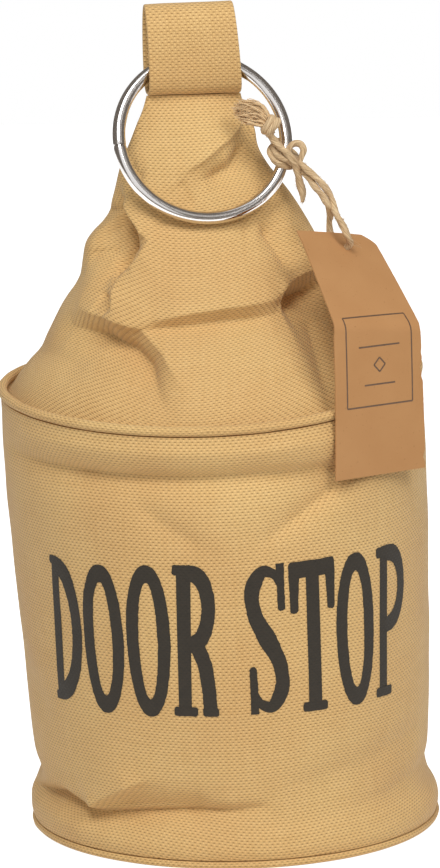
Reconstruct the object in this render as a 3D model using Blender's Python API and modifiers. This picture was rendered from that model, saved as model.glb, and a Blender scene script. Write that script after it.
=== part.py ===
# Weighted fabric door stop: a sewn, sand-filled bag with a strap loop, a steel carry ring and a paper tag.
# Metres, +Z up, standing on z = 0. The origin is the middle of the base, and the front looks along -Y.
# A bearing is the angle round the bag from the front, positive towards +X.

import math

import bmesh
import bpy
import numpy as np
from mathutils import Vector

MM = 0.001
GAP = 0.3 * MM

# Bag
BASE_RADIUS = 65.5 * MM
BASE_THICKNESS = 2.3 * MM
BASE_ROUNDING = 0.7 * MM
RIM_HEIGHT = 142.15 * MM
PIPING_RING_RADIUS = BASE_RADIUS + 0.5 * MM
PIPING_RADIUS = 1.5 * MM
SEAM_HEIGHT = 231.0 * MM
SEAM_HALF_WIDTH = 15.0 * MM
SEAM_HALF_DEPTH = 1.6 * MM
NECK_DROP = 50.95 * MM
DRAWN_SHOULDER_DROP = 37.9 * MM
LEAN = -0.0405
BAG_COLUMNS = 72
SIDE_ROWS = 18
TOP_ROWS = 30

# The piping isn't level: it rises to the right and to the back, and sags a little between.
RIM_RISE_RIGHT = 0.0407
RIM_RISE_BACK = 0.0794
RIM_SAG_ACROSS = 1.1 * MM
RIM_SAG_DIAGONAL = 0.6 * MM

# Strap loop and the turn of the whole neck
STRAP_WIDTH = 30.0 * MM
STRAP_THICKNESS = 1.3 * MM
STRAP_HEIGHT = 27.2 * MM
STRAP_HALF_GAP = 6.5 * MM
STRAP_FOOT = 0.975 * MM
STRAP_LEAN = math.radians(-2.7)
NECK_YAW = math.radians(12.0)
STRAP_COLUMNS = 6

# Carry ring
RING_RADIUS = 26.0 * MM
RING_WIRE_RADIUS = 2.0 * MM
RING_JOINT_GAP = 0.3 * MM
RING_JOINT_ANGLE = math.radians(-93.0)
RING_TILT = math.radians(24.0)
RING_AXIS_HEIGHT = 9.4 * MM
RING_STEPS = 64

# Paper tag
TAG_WIDTH = 35.4 * MM
TAG_TOP_WIDTH = 28.6 * MM
TAG_LENGTH = 82.0 * MM
TAG_THICKNESS = 0.6 * MM
TAG_FOLD = 46.2 * MM
TAG_FOLD_SLOPE = -0.137
TAG_BEND_RADIUS = 8.0 * MM
TAG_LEAN_LEFT = math.radians(39.0)
TAG_LEAN_RIGHT = math.radians(48.0)
TAG_YAW = math.radians(37.0)
TAG_OFF_AXIS = 68.4 * MM
TAG_SIDEWAYS = 13.0 * MM
TAG_BOTTOM = 118.5 * MM
TAG_CORNER_CLIP = 3.0 * MM
TAG_HOLE = Vector((2.0 * MM, 76.0 * MM))
TAG_HOLE_RADIUS = 1.7 * MM
TAG_HOLE_CORNERS = 12
TAG_BEND_STRIP = 4.0 * MM

# Twine
TWINE_RADIUS = 1.15 * MM
TWINE_PAIR_RADIUS = 1.3 * MM
TWINE_TURNS = 2.5
TWINE_PHASE = math.radians(200.0)
TWINE_PAIR_STEPS = 23
TWINE_LOOP_STEPS = 22
HITCH_ANGLE = math.radians(100.0)
HITCH_TURNS = 2.25
HITCH_PITCH = 2.7 * MM
HITCH_STEPS_PER_TURN = 12

PAIR_ROUTE = [(22.6, -9.6, 212.5), (25.4, -13.0, 209.4), (28.6, -18.0, 205.4), (30.9, -22.3, 201.6),
              (32.2, -25.2, 198.6)]
TAG_LOOP_ROUTE = [(33.6, -29.8, 194.9), (35.6, -33.0, 191.6), (37.6, -32.9, 189.2), (36.0, -30.5, 187.2),
                  (34.0, -27.9, 185.8), (32.2, -25.4, 187.6), (31.1, -24.3, 191.4), (31.2, -24.0, 195.1)]
END_ROUTE = [(14.8, -10.5, 214.6), (12.7, -11.2, 216.4), (10.9, -11.0, 219.0), (9.4, -10.8, 221.4),
             (8.2, -10.7, 223.6), (7.5, -10.6, 225.2)]
END_THICKNESS = [1.0, 1.8, 1.1, 1.2, 2.1, 1.5]
TAIL_ROUTE = [(21.0, -7.7, 209.9), (23.0, -7.6, 205.9), (24.2, -8.4, 202.2)]

# Folds pressed into the cloth: points as (bearing in degrees, place), then half width and depth.
# The place is the drop below the seam in the top panel, and the height in the side panel.
# A positive depth stands out as a ridge and a negative one is a valley.
TOP_FOLDS = [
    ([(54, 10), (16, 16), (-6, 21)], 2.2, -1.2),
    ([(8, 18), (34, 23)], 3.2, -0.8),
    ([(-46, 17), (-20, 10)], 3.5, 0.5),
    ([(-72, 18), (-50, 25)], 3.0, -1.4),
    ([(-60, 35), (-45, 39), (-33, 42)], 3.0, -2.6),
    ([(-74, 43), (-55, 44)], 2.4, -1.6),
    ([(-52, 31), (-31, 40), (-42, 52), (-41, 60)], 3.4, 1.6),
    ([(-86, 35), (-80, 51)], 6.0, 1.5),
    ([(-36, 61), (-5, 61), (20, 62), (44, 65)], 4.0, -1.7),
    ([(-68, 61), (-40, 66), (-21, 72), (-13, 79)], 3.6, -2.3),
    ([(-60, 71), (-34, 78)], 5.0, 1.2),
    ([(-12, 69), (14, 75)], 6.0, 1.0),
    ([(34, 40), (38, 53), (43, 62), (47, 68)], 3.2, -2.8),
    ([(26, 35), (28, 49), (32, 59)], 3.4, 1.3),
    ([(40, 71), (37, 83)], 4.0, -1.8),
    ([(54, 55), (60, 75)], 6.0, 1.6),
    ([(88, 26), (100, 45), (112, 61)], 4.0, -2.4),
    ([(124, 17), (140, 35), (150, 51)], 3.2, -2.2),
    ([(150, 55), (178, 61), (206, 59)], 4.5, -2.0),
    ([(196, 19), (190, 35)], 4.0, 1.4),
    ([(214, 27), (226, 43), (240, 55)], 3.4, -2.6),
    ([(246, 71), (262, 79)], 5.0, -1.6),
]
SIDE_FOLDS = [
    ([(-50, 126), (-20, 127), (12, 127.6), (36, 125)], 4.0, -0.55),
    ([(-50, 134), (-6, 135), (30, 135)], 3.0, 0.4),
    ([(40, 122), (34, 119), (27, 114.5), (13, 106)], 3.6, -1.0),
    ([(-100, 22), (-69, 22)], 3.2, -1.3),
    ([(-92, 12), (-63, 15), (-50, 15), (-30, 16), (-8, 19), (6, 19)], 2.4, -1.8),
    ([(-90, 8), (-66, 9), (-40, 8)], 3.0, 1.1),
    ([(-52, 24), (-30, 27)], 5.0, 0.7),
    ([(40, 16), (76, 20), (110, 18)], 4.0, -0.9),
    ([(60, 8), (90, 8), (120, 9)], 4.0, 0.6),
    ([(150, 18), (190, 16), (226, 20)], 3.4, -1.5),
    ([(140, 120), (180, 126), (214, 121)], 5.0, -0.9),
    ([(96, 96), (120, 84)], 6.0, -0.9),
    ([(232, 88), (250, 66)], 7.0, -0.8),
]

CLOTH = "sand_canvas"


def clear_scene():
    for old in list(bpy.data.objects):
        bpy.data.objects.remove(old, do_unlink=True)


def new_collection(name):
    made = bpy.data.collections.new(name)
    bpy.context.scene.collection.children.link(made)
    return made


def new_material(name, colour, roughness, metallic=0.0):
    made = bpy.data.materials.new(name)
    made.use_nodes = True
    shader = made.node_tree.nodes["Principled BSDF"]
    shader.inputs["Base Color"].default_value = (*colour, 1)
    shader.inputs["Roughness"].default_value = roughness
    shader.inputs["Metallic"].default_value = metallic
    return made


def add_object(name, data, material, parent=None):
    made = bpy.data.objects.new(name, data)
    data.materials.append(bpy.data.materials[material])
    bpy.data.collections["door_stop"].objects.link(made)
    made.parent = parent
    return made


def mesh_object(name, points, faces, material, parent=None, smooth_below=math.radians(40)):
    mesh = bpy.data.meshes.new(name)
    mesh.from_pydata([tuple(p) for p in points], [], faces)
    bm = bmesh.new()
    bm.from_mesh(mesh)
    bmesh.ops.recalc_face_normals(bm, faces=bm.faces[:])
    bm.to_mesh(mesh)
    bm.free()
    mesh.shade_smooth()
    mesh.set_sharp_from_angle(angle=smooth_below)
    return add_object(name, mesh, material, parent)


def through(points, at):
    """The smooth curve through (x, y) points, at each x asked for."""
    table = np.array(points, float)
    x, y = table[:, 0], table[:, 1]
    slope = np.gradient(y, x)
    i = np.clip(np.searchsorted(x, at, side="right") - 1, 0, len(x) - 2)
    step = x[i + 1] - x[i]
    t = np.clip((at - x[i]) / step, 0, 1)
    return ((2 * t**3 - 3 * t**2 + 1) * y[i] + (t**3 - 2 * t**2 + t) * step * slope[i]
            + (3 * t**2 - 2 * t**3) * y[i + 1] + (t**3 - t**2) * step * slope[i + 1])


def smooth_route(points, count):
    """Evenly spaced points on the smooth curve through a few chosen ones."""
    chosen = np.array(points, float)
    along = np.concatenate([[0], np.cumsum(np.linalg.norm(np.diff(chosen, axis=0), axis=1))])
    at = np.linspace(0, along[-1], count)
    return np.stack([through(np.stack([along, chosen[:, k]], 1), at) for k in range(3)], 1)


def rim_offset(bearing):
    """How far the piping lies above its mean height, at a bearing."""
    turn = bearing - math.pi / 2
    across = PIPING_RING_RADIUS * np.cos(turn)
    back = PIPING_RING_RADIUS * np.sin(turn)
    return (RIM_RISE_RIGHT * across + RIM_RISE_BACK * back
            + RIM_SAG_ACROSS * np.cos(2 * turn) + RIM_SAG_DIAGONAL * np.sin(2 * turn))


def fold_depth(folds, bearing, height, radius):
    """How far the cloth stands out at each point, from the folds that pass near it."""
    total = np.zeros(np.broadcast(bearing, height).shape)
    for points, half_width, depth in folds:
        nearest = np.full(total.shape, np.inf)
        for (b0, h0), (b1, h1) in zip(points, points[1:]):
            middle = math.radians((b0 + b1) / 2)
            away = (bearing - middle + math.pi) % (2 * math.pi) - math.pi
            ax, bx = (math.radians(b0) - middle) * radius, (math.radians(b1) - middle) * radius
            px, ah, bh = away * radius, h0 * MM, h1 * MM
            run = (bx - ax) ** 2 + (bh - ah) ** 2
            t = np.clip(((px - ax) * (bx - ax) + (height - ah) * (bh - ah)) / run, 0, 1)
            gap = np.hypot(px - ax - t * (bx - ax), height - ah - t * (bh - ah))
            nearest = np.minimum(nearest, gap)
        total += depth * MM * np.exp(-((nearest / (half_width * MM)) ** 2))
    return total


def side_rows():
    """The side panel, from the hem up to the piping, as one row of points for each height."""
    bottom = BASE_THICKNESS + GAP
    top = RIM_HEIGHT - PIPING_RADIUS - GAP
    profile = [(bottom, BASE_RADIUS - 0.5 * MM), (4.6 * MM, BASE_RADIUS), (9 * MM, BASE_RADIUS - 0.6 * MM),
               (14 * MM, BASE_RADIUS - 2.1 * MM), (20 * MM, BASE_RADIUS - 2.3 * MM),
               (30 * MM, BASE_RADIUS - 1.6 * MM), (70 * MM, BASE_RADIUS + 0.3 * MM),
               (101 * MM, PIPING_RING_RADIUS + 0.95 * MM), (125 * MM, PIPING_RING_RADIUS + 1.2 * MM),
               (top, PIPING_RING_RADIUS + 0.6 * MM)]
    low = np.linspace(bottom, 30 * MM, SIDE_ROWS // 2, endpoint=False)
    high = np.linspace(30 * MM, top, SIDE_ROWS - SIDE_ROWS // 2)
    level = np.concatenate([low, high])[:, None]
    bearing = np.linspace(0, 2 * math.pi, BAG_COLUMNS, endpoint=False)[None, :]
    radius = through(profile, level)
    radius = radius + fold_depth(SIDE_FOLDS, bearing, level, PIPING_RING_RADIUS)
    tilt = rim_offset(bearing) * (through(profile, level) / PIPING_RING_RADIUS) * (level / top) ** 1.5
    height = level + tilt
    return np.stack([LEAN * height + radius * np.sin(bearing), -radius * np.cos(bearing),
                     height + 0 * radius], -1)


def drawn_drop(drop):
    """The drop below the seam at which the profiles and folds have this point's form.

    The neck keeps its size whatever the bag's height is, and the shoulder under it takes up the rest.
    """
    shoulder = SEAM_HEIGHT - RIM_HEIGHT - NECK_DROP
    stretch = DRAWN_SHOULDER_DROP / shoulder
    return np.where(drop < NECK_DROP, drop, NECK_DROP + (drop - NECK_DROP) * stretch)


def top_rows():
    """The tapering top panel, from inside the piping up to the flat seam."""
    foot = PIPING_RING_RADIUS - PIPING_RADIUS - GAP
    lowest = NECK_DROP + DRAWN_SHOULDER_DROP + PIPING_RADIUS
    left = [(0, SEAM_HALF_WIDTH), (8.95 * MM, 17.8 * MM), (18.45 * MM, 23.3 * MM), (30.95 * MM, 28.0 * MM),
            (40.95 * MM, 33.5 * MM), (NECK_DROP, 0.6075 * foot), (63.45 * MM, 0.7087 * foot),
            (75.95 * MM, 0.8318 * foot), (82.95 * MM, 0.919 * foot), (lowest, foot)]
    right = [(0, SEAM_HALF_WIDTH), (8.95 * MM, 16.5 * MM), (18.45 * MM, 20.3 * MM), (30.95 * MM, 29.0 * MM),
             (40.95 * MM, 34.3 * MM), (NECK_DROP, 0.6044 * foot), (63.45 * MM, 0.7009 * foot),
             (75.95 * MM, 0.8333 * foot), (82.95 * MM, 0.919 * foot), (lowest, foot)]
    deep = [(0, SEAM_HALF_DEPTH), (8.95 * MM, 5.5 * MM), (18.45 * MM, 9.8 * MM), (30.95 * MM, 15.6 * MM),
            (40.95 * MM, 21.3 * MM), (NECK_DROP, 0.4393 * foot), (63.45 * MM, 0.6153 * foot),
            (75.95 * MM, 0.7944 * foot), (82.95 * MM, 0.9034 * foot), (lowest, foot)]
    level = np.linspace(RIM_HEIGHT - PIPING_RADIUS, SEAM_HEIGHT, TOP_ROWS)[:, None]
    bearing = np.linspace(0, 2 * math.pi, BAG_COLUMNS, endpoint=False)[None, :]
    share = np.clip((level - RIM_HEIGHT) / (SEAM_HEIGHT - RIM_HEIGHT), 0, 1)
    drop = drawn_drop(SEAM_HEIGHT - level)
    half_width = np.where(np.sin(bearing) < 0, through(left, drop), through(right, drop))
    half_depth = through(deep, drop) + 0 * bearing
    settled = np.sin(math.pi * np.clip(share, 0, 1)) ** 0.4
    fold = fold_depth(TOP_FOLDS, bearing, drop, half_width) * settled
    x = (half_width + fold) * np.sin(bearing)
    y = -(half_depth + fold) * np.cos(bearing)
    turn = NECK_YAW * share
    x, y = x * np.cos(turn) - y * np.sin(turn), x * np.sin(turn) + y * np.cos(turn)
    height = level + rim_offset(bearing) * (foot / PIPING_RING_RADIUS) * (1 - share) ** 1.3
    return np.stack([LEAN * height + x, y, height + 0 * x], -1)


def close_loft(name, rows, material):
    """A solid from rows of points round the bag, with a fan over each end."""
    count, columns = rows.shape[:2]
    points = list(rows.reshape(-1, 3))
    faces = []
    for r in range(count - 1):
        for c in range(columns):
            nxt = (c + 1) % columns
            low, high = r * columns, (r + 1) * columns
            faces.append((low + c, low + nxt, high + nxt, high + c))
    for r in (0, count - 1):
        middle = len(points)
        points.append(rows[r].mean(axis=0))
        for c in range(columns):
            faces.append((r * columns + c, r * columns + (c + 1) % columns, middle))
    return mesh_object(name, points, faces, material)


def tube(name, points, radius, material, thickness=None, cyclic=False, sides=2, parent=None):
    curve = bpy.data.curves.new(name, "CURVE")
    curve.dimensions = "3D"
    curve.bevel_depth = radius
    curve.bevel_resolution = sides
    curve.use_fill_caps = not cyclic
    spline = curve.splines.new("POLY")
    spline.points.add(len(points) - 1)
    for i, place in enumerate(points):
        spline.points[i].co = (*place, 1)
        spline.points[i].radius = 1 if thickness is None else thickness[i]
    spline.use_cyclic_u = cyclic
    spline.use_smooth = True
    return add_object(name, curve, material, parent)


def build_base_panel():
    bpy.ops.mesh.primitive_cylinder_add(vertices=BAG_COLUMNS, radius=BASE_RADIUS, depth=BASE_THICKNESS,
                                        location=(0, 0, BASE_THICKNESS / 2))
    panel = bpy.context.object
    panel.name = panel.data.name = "base_panel"
    for home in list(panel.users_collection):
        home.objects.unlink(panel)
    bpy.data.collections["door_stop"].objects.link(panel)
    panel.data.materials.append(bpy.data.materials[CLOTH])
    rounding = panel.modifiers.new("rounded_hem", "BEVEL")
    rounding.width = BASE_ROUNDING
    rounding.segments = 2
    rounding.limit_method = "ANGLE"
    panel.data.shade_smooth()
    panel.data.set_sharp_from_angle(angle=math.radians(40))


def build_piping():
    bearing = np.linspace(0, 2 * math.pi, BAG_COLUMNS, endpoint=False)
    height = RIM_HEIGHT + rim_offset(bearing)
    ring = np.stack([LEAN * height + PIPING_RING_RADIUS * np.sin(bearing),
                     -PIPING_RING_RADIUS * np.cos(bearing), height], -1)
    tube("shoulder_piping", ring, PIPING_RADIUS, CLOTH, cyclic=True)


def build_neck():
    """The frame of the strap and ring: its origin is the middle of the top seam."""
    neck = bpy.data.objects.new("neck", None)
    bpy.data.collections["door_stop"].objects.link(neck)
    neck.location = (LEAN * SEAM_HEIGHT, 0, SEAM_HEIGHT + GAP)
    neck.rotation_euler = (0, STRAP_LEAN, NECK_YAW)
    return neck


def build_strap(neck):
    """One band of webbing, folded over and sewn together at its foot."""
    # The front half of the loop from its foot to its top, as shares of the half gap and of the height.
    half = [(0.0, 0.0), (0.3, 0.04), (0.68, 0.12), (0.93, 0.225), (1.0, 0.34), (0.98, 0.47), (0.87, 0.61),
            (0.7, 0.74), (0.49, 0.855), (0.25, 0.95), (0.0, 1.0)]
    rise = STRAP_HEIGHT - STRAP_FOOT - STRAP_THICKNESS / 2
    front = [(-gap * STRAP_HALF_GAP, STRAP_FOOT + up * rise) for gap, up in half]
    back = [(-y, z) for y, z in front[-2:0:-1]]
    outline = front + back
    points = []
    for c in range(STRAP_COLUMNS + 1):
        across = (c / STRAP_COLUMNS - 0.5) * STRAP_WIDTH
        level = -math.tan(STRAP_LEAN) * across
        points += [(across, y, z - level * (1 - z / STRAP_HEIGHT)) for y, z in outline]
    count = len(outline)
    faces = []
    for c in range(STRAP_COLUMNS):
        for i in range(count):
            nxt = (i + 1) % count
            faces.append((c * count + i, c * count + nxt, (c + 1) * count + nxt, (c + 1) * count + i))
    strap = mesh_object("strap_loop", points, faces, CLOTH, neck)
    webbing = strap.modifiers.new("webbing", "SOLIDIFY")
    webbing.thickness = STRAP_THICKNESS
    webbing.offset = 0
    webbing.use_even_offset = True


def build_ring_frame(neck):
    """The hinge line of the ring, through the middle of the strap loop."""
    swing = bpy.data.objects.new("ring_swing", None)
    bpy.data.collections["door_stop"].objects.link(swing)
    swing.parent = neck
    swing.location = (0, 0, RING_AXIS_HEIGHT)
    swing.rotation_euler = (-RING_TILT, 0, 0)
    return swing


def ring_middle_drop():
    """The drop of the ring's centre below the hinge line, which halves the wire's rise inside the strap."""
    half = STRAP_WIDTH / 2
    rise = RING_RADIUS - math.sqrt(RING_RADIUS**2 - half**2)
    return RING_RADIUS - rise / 2


def ring_point(angle):
    """A point of the ring's wire in the swing frame, with the angle measured from the top towards +X."""
    return Vector((RING_RADIUS * math.sin(angle), 0, RING_RADIUS * math.cos(angle) - ring_middle_drop()))


def build_ring(swing):
    opening = RING_JOINT_GAP / RING_RADIUS
    first = RING_JOINT_ANGLE + opening / 2
    last = RING_JOINT_ANGLE + 2 * math.pi - opening / 2
    points = [ring_point(a) for a in np.linspace(first, last, RING_STEPS + 1)]
    tube("carry_ring", points, RING_WIRE_RADIUS, "polished_steel", sides=4, parent=swing)


def tag_point(across, up):
    """A point of the card, flat below its fold and leaning back above it."""
    outward = Vector((math.sin(TAG_YAW), -math.cos(TAG_YAW), 0))
    sideways = Vector((math.cos(TAG_YAW), math.sin(TAG_YAW), 0))
    lean = TAG_LEAN_LEFT + (TAG_LEAN_RIGHT - TAG_LEAN_LEFT) * (across / TAG_WIDTH + 0.5)
    past = max(0.0, up - TAG_FOLD - TAG_FOLD_SLOPE * across)
    turned = min(past / TAG_BEND_RADIUS, lean)
    straight = past - turned * TAG_BEND_RADIUS
    back = TAG_BEND_RADIUS * (1 - math.cos(turned)) + straight * math.sin(turned)
    height = up - past + TAG_BEND_RADIUS * math.sin(turned) + straight * math.cos(turned)
    foot = Vector((LEAN * RIM_HEIGHT, 0, TAG_BOTTOM)) + outward * TAG_OFF_AXIS + sideways * TAG_SIDEWAYS
    return foot + sideways * across - outward * back + Vector((0, 0, height))


def build_tag():
    """The card as a flat outline with a hole, filled and cut into strips, then bent."""
    half, top_half = TAG_WIDTH / 2, TAG_TOP_WIDTH / 2
    outline = [(-half, 0), (half, 0), (half, TAG_FOLD), (top_half, TAG_LENGTH - TAG_CORNER_CLIP),
               (top_half - TAG_CORNER_CLIP, TAG_LENGTH), (-top_half, TAG_LENGTH), (-half, TAG_FOLD)]
    hole = [(TAG_HOLE.x + TAG_HOLE_RADIUS * math.cos(a), TAG_HOLE.y + TAG_HOLE_RADIUS * math.sin(a))
            for a in np.linspace(0, 2 * math.pi, TAG_HOLE_CORNERS, endpoint=False)]
    bm = bmesh.new()
    for loop in (outline, hole):
        corners = [bm.verts.new((x, y, 0)) for x, y in loop]
        for i, corner in enumerate(corners):
            bm.edges.new((corner, corners[(i + 1) % len(corners)]))
    bmesh.ops.triangle_fill(bm, edges=bm.edges[:], use_beauty=True)
    rows = [((0, TAG_FOLD + strip * TAG_BEND_STRIP, 0), (0, 1, 0)) for strip in (-1, 0, 1, 2, 3)]
    columns = [((across, 0, 0), (1, 0, 0)) for across in (-half / 2, 0, half / 2)]
    for place, normal in rows + columns:
        whole = bm.verts[:] + bm.edges[:] + bm.faces[:]
        bmesh.ops.bisect_plane(bm, geom=whole, plane_co=place, plane_no=normal)
    bmesh.ops.recalc_face_normals(bm, faces=bm.faces[:])
    for corner in bm.verts:
        corner.co = tag_point(corner.co.x, corner.co.y)
    mesh = bpy.data.meshes.new("hang_tag")
    bm.to_mesh(mesh)
    bm.free()
    tag = add_object("hang_tag", mesh, "kraft_card")
    card = tag.modifiers.new("card", "SOLIDIFY")
    card.thickness = TAG_THICKNESS
    card.offset = 0


def build_twine_pair():
    """The doubled twine: two strands twisted together down to the tag, then through its hole and back."""
    centre = smooth_route(PAIR_ROUTE, TWINE_PAIR_STEPS)
    ahead = np.gradient(centre, axis=0)
    ahead /= np.linalg.norm(ahead, axis=1)[:, None]
    side = np.cross(ahead, (0, 0, 1))
    side /= np.linalg.norm(side, axis=1)[:, None]
    over = np.cross(side, ahead)
    turn = np.linspace(-2 * math.pi * TWINE_TURNS, 0, TWINE_PAIR_STEPS)[:, None] + TWINE_PHASE
    offset = (side * np.cos(turn) + over * np.sin(turn)) * TWINE_PAIR_RADIUS / MM
    down, up = centre + offset, centre - offset
    loop = smooth_route([down[-1], *TAG_LOOP_ROUTE, up[-1]], TWINE_LOOP_STEPS)[1:-1]
    route = np.concatenate([down, loop, up[::-1]]) * MM
    tube("tag_twine", route, TWINE_RADIUS, "jute_twine")


def build_hitch(swing):
    """The twine's turns round the ring's wire."""
    coil = RING_WIRE_RADIUS + GAP + TWINE_RADIUS
    count = int(HITCH_TURNS * HITCH_STEPS_PER_TURN) + 1
    points = []
    for i in range(count):
        share = i / (count - 1) - 0.5
        along = HITCH_ANGLE + share * HITCH_TURNS * HITCH_PITCH / RING_RADIUS
        turn = share * HITCH_TURNS * 2 * math.pi
        outward = Vector((math.sin(along), 0, math.cos(along)))
        sideways = Vector((0, 1, 0))
        points.append(ring_point(along) + coil * (outward * math.cos(turn) + sideways * math.sin(turn)))
    tube("twine_hitch", points, TWINE_RADIUS, "jute_twine", parent=swing)


def build_twine_ends():
    """The knotted end beside the seam, and the short loose tail under the hitch."""
    tube("twine_end", np.array(END_ROUTE) * MM, TWINE_RADIUS, "jute_twine", thickness=END_THICKNESS)
    tube("twine_tail", np.array(TAIL_ROUTE) * MM, TWINE_RADIUS, "jute_twine", thickness=[0.9, 1.0, 0.7])


def main():
    clear_scene()
    new_collection("door_stop")
    new_material(CLOTH, (0.66, 0.42, 0.16), 0.85)
    new_material("polished_steel", (0.72, 0.70, 0.68), 0.12, 1.0)
    new_material("kraft_card", (0.56, 0.31, 0.14), 0.8)
    new_material("jute_twine", (0.58, 0.38, 0.20), 0.9)
    build_base_panel()
    close_loft("lower_bag", side_rows(), CLOTH)
    build_piping()
    close_loft("upper_bag", top_rows(), CLOTH)
    neck = build_neck()
    build_strap(neck)
    swing = build_ring_frame(neck)
    build_ring(swing)
    build_tag()
    build_twine_pair()
    build_hitch(swing)
    build_twine_ends()


main()
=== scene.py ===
import math

import bmesh
import bpy
import numpy as np
from mathutils import Matrix, Vector


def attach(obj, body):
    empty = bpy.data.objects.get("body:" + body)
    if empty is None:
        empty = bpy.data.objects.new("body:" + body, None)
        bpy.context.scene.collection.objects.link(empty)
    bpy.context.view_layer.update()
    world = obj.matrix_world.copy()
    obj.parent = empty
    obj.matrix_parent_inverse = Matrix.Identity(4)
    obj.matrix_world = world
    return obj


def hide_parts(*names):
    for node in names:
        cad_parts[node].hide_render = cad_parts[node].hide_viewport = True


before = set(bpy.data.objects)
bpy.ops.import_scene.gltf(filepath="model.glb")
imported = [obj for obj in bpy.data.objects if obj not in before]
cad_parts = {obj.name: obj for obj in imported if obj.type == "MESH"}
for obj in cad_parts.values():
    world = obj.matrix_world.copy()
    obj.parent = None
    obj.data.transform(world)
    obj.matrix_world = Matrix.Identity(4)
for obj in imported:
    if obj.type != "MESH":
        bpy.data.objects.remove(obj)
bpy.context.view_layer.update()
mm = 0.001
fullTurn = 2 * math.pi
print("frame loaded:", ", ".join(sorted(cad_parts)))


# small tools that every piece uses

def sRGB(red, green, blue):  # a written colour, 0 to 255, as linear light
    def linear(value):
        value /= 255
        return value / 12.92 if value <= 0.04045 else ((value + 0.055) / 1.055) ** 2.4
    return (linear(red), linear(green), linear(blue), 1)


def smoothThrough(points, at):  # smooth curve through (x, y) points, read at each x
    table = np.array(points, float)
    x, y = table[:, 0], table[:, 1]
    slope = np.gradient(y, x)
    i = np.clip(np.searchsorted(x, at, side="right") - 1, 0, len(x) - 2)
    step = x[i + 1] - x[i]
    t = np.clip((at - x[i]) / step, 0, 1)
    return ((2 * t**3 - 3 * t**2 + 1) * y[i] + (t**3 - 2 * t**2 + t) * step * slope[i]
            + (3 * t**2 - 2 * t**3) * y[i + 1] + (t**3 - t**2) * step * slope[i + 1])


def lengthAlong(points):  # length of the way from the first point to each one
    return np.concatenate([[0], np.cumsum(np.linalg.norm(np.diff(points, axis=0), axis=1))])


def lengthRound(points):  # the same on a closed way, which comes back to its first point
    along = lengthAlong(points)
    return np.append(along, along[-1] + np.linalg.norm(points[0] - points[-1]))


def smoothRoute(points, count):  # evenly spaced places on the smooth curve through a few chosen ones
    chosen = np.array(points, float)
    along = lengthAlong(chosen)
    at = np.linspace(0, along[-1], count)
    return np.stack([smoothThrough(np.stack([along, chosen[:, k]], 1), at) for k in range(3)], 1)


def unit(vectors):
    return vectors / np.maximum(np.linalg.norm(vectors, axis=-1, keepdims=True), 1e-12)


def rotated(x, y, turn):
    return x * np.cos(turn) - y * np.sin(turn), x * np.sin(turn) + y * np.cos(turn)


def flatGrid(across, up):  # flat cloth places, from the way across and the way up
    return np.stack(np.broadcast_arrays(across[None, :], up[:, None]), -1)


def softNoise(across, up, size, seed, wrap=None):  # smooth hills and hollows about one unit high
    cells, shift = 64, 7.3  # the side of its table, and a step off the table's first row
    cellsAcross = max(3, int(round(wrap / size))) if wrap else cells
    px = (across / wrap) * cellsAcross if wrap else across / size
    py = up / size + shift
    table = np.random.RandomState(seed).uniform(-1, 1, (cells, cellsAcross))
    ix, iy = np.floor(px).astype(int), np.floor(py).astype(int)
    fx, fy = px - ix, py - iy
    fx, fy = fx * fx * (3 - 2 * fx), fy * fy * (3 - 2 * fy)
    def cell(a, b):
        return table[np.mod(b, cells), np.mod(a, cellsAcross)]
    low = cell(ix, iy) * (1 - fx) + cell(ix + 1, iy) * fx
    high = cell(ix, iy + 1) * (1 - fx) + cell(ix + 1, iy + 1) * fx
    return low * (1 - fy) + high * fy


def placed(name, data):  # a new object in the scene
    piece = bpy.data.objects.new(name, data)
    bpy.context.scene.collection.objects.link(piece)
    return piece


def newMesh(name, points, faces, uvs=None, shadeBelow=60):
    mesh = bpy.data.meshes.new(name)
    mesh.from_pydata([tuple(p) for p in points], [], faces)
    if uvs is not None:
        layer = mesh.uv_layers.new(name="cloth")
        layer.data.foreach_set("uv", np.asarray(uvs, np.float32).ravel())
    mesh.shade_smooth()
    mesh.set_sharp_from_angle(angle=math.radians(shadeBelow))
    return placed(name, mesh)


def gridQuads(rows, columns):  # the corners of each square in a grid of points
    r, c = np.meshgrid(np.arange(rows - 1), np.arange(columns - 1), indexing="ij")
    k = (r * columns + c).reshape(-1, 1)
    return k + [0, 1, columns + 1, columns]


# rows of rings; grid holds the flat cloth place of each point, with one more column for the way round
def loft(name, rows, grid, capped=True, closedAlong=False):
    count, columns = rows.shape[:2]
    points = rows.reshape(-1, 3)
    last = count if closedAlong else count - 1
    r, c = np.meshgrid(np.arange(last), np.arange(columns), indexing="ij")
    here, above, beside = r * columns, (r + 1) % count * columns, (c + 1) % columns
    quads = np.stack([here + c, here + beside, above + beside, above + c], -1).reshape(-1, 4)
    corner = np.stack([grid[r, c], grid[r, c + 1], grid[r + 1, c + 1], grid[r + 1, c]], 2).reshape(-1, 2)
    faces, uvs = quads.tolist(), [corner]
    if capped:
        ends = []
        for ring in (0, count - 1):
            middle = len(points) + len(ends)
            ends.append(rows[ring].mean(axis=0))
            flat = grid[min(ring, grid.shape[0] - 1)]
            for k in range(columns):
                a, b = (k, k + 1) if ring else (k + 1, k)
                faces.append((ring * columns + a % columns, ring * columns + b % columns, middle))
                uvs.append(np.array([flat[a], flat[b], flat[k]]))
        points = np.concatenate([points, np.array(ends)])
    return newMesh(name, points, faces, np.concatenate(uvs))


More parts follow.
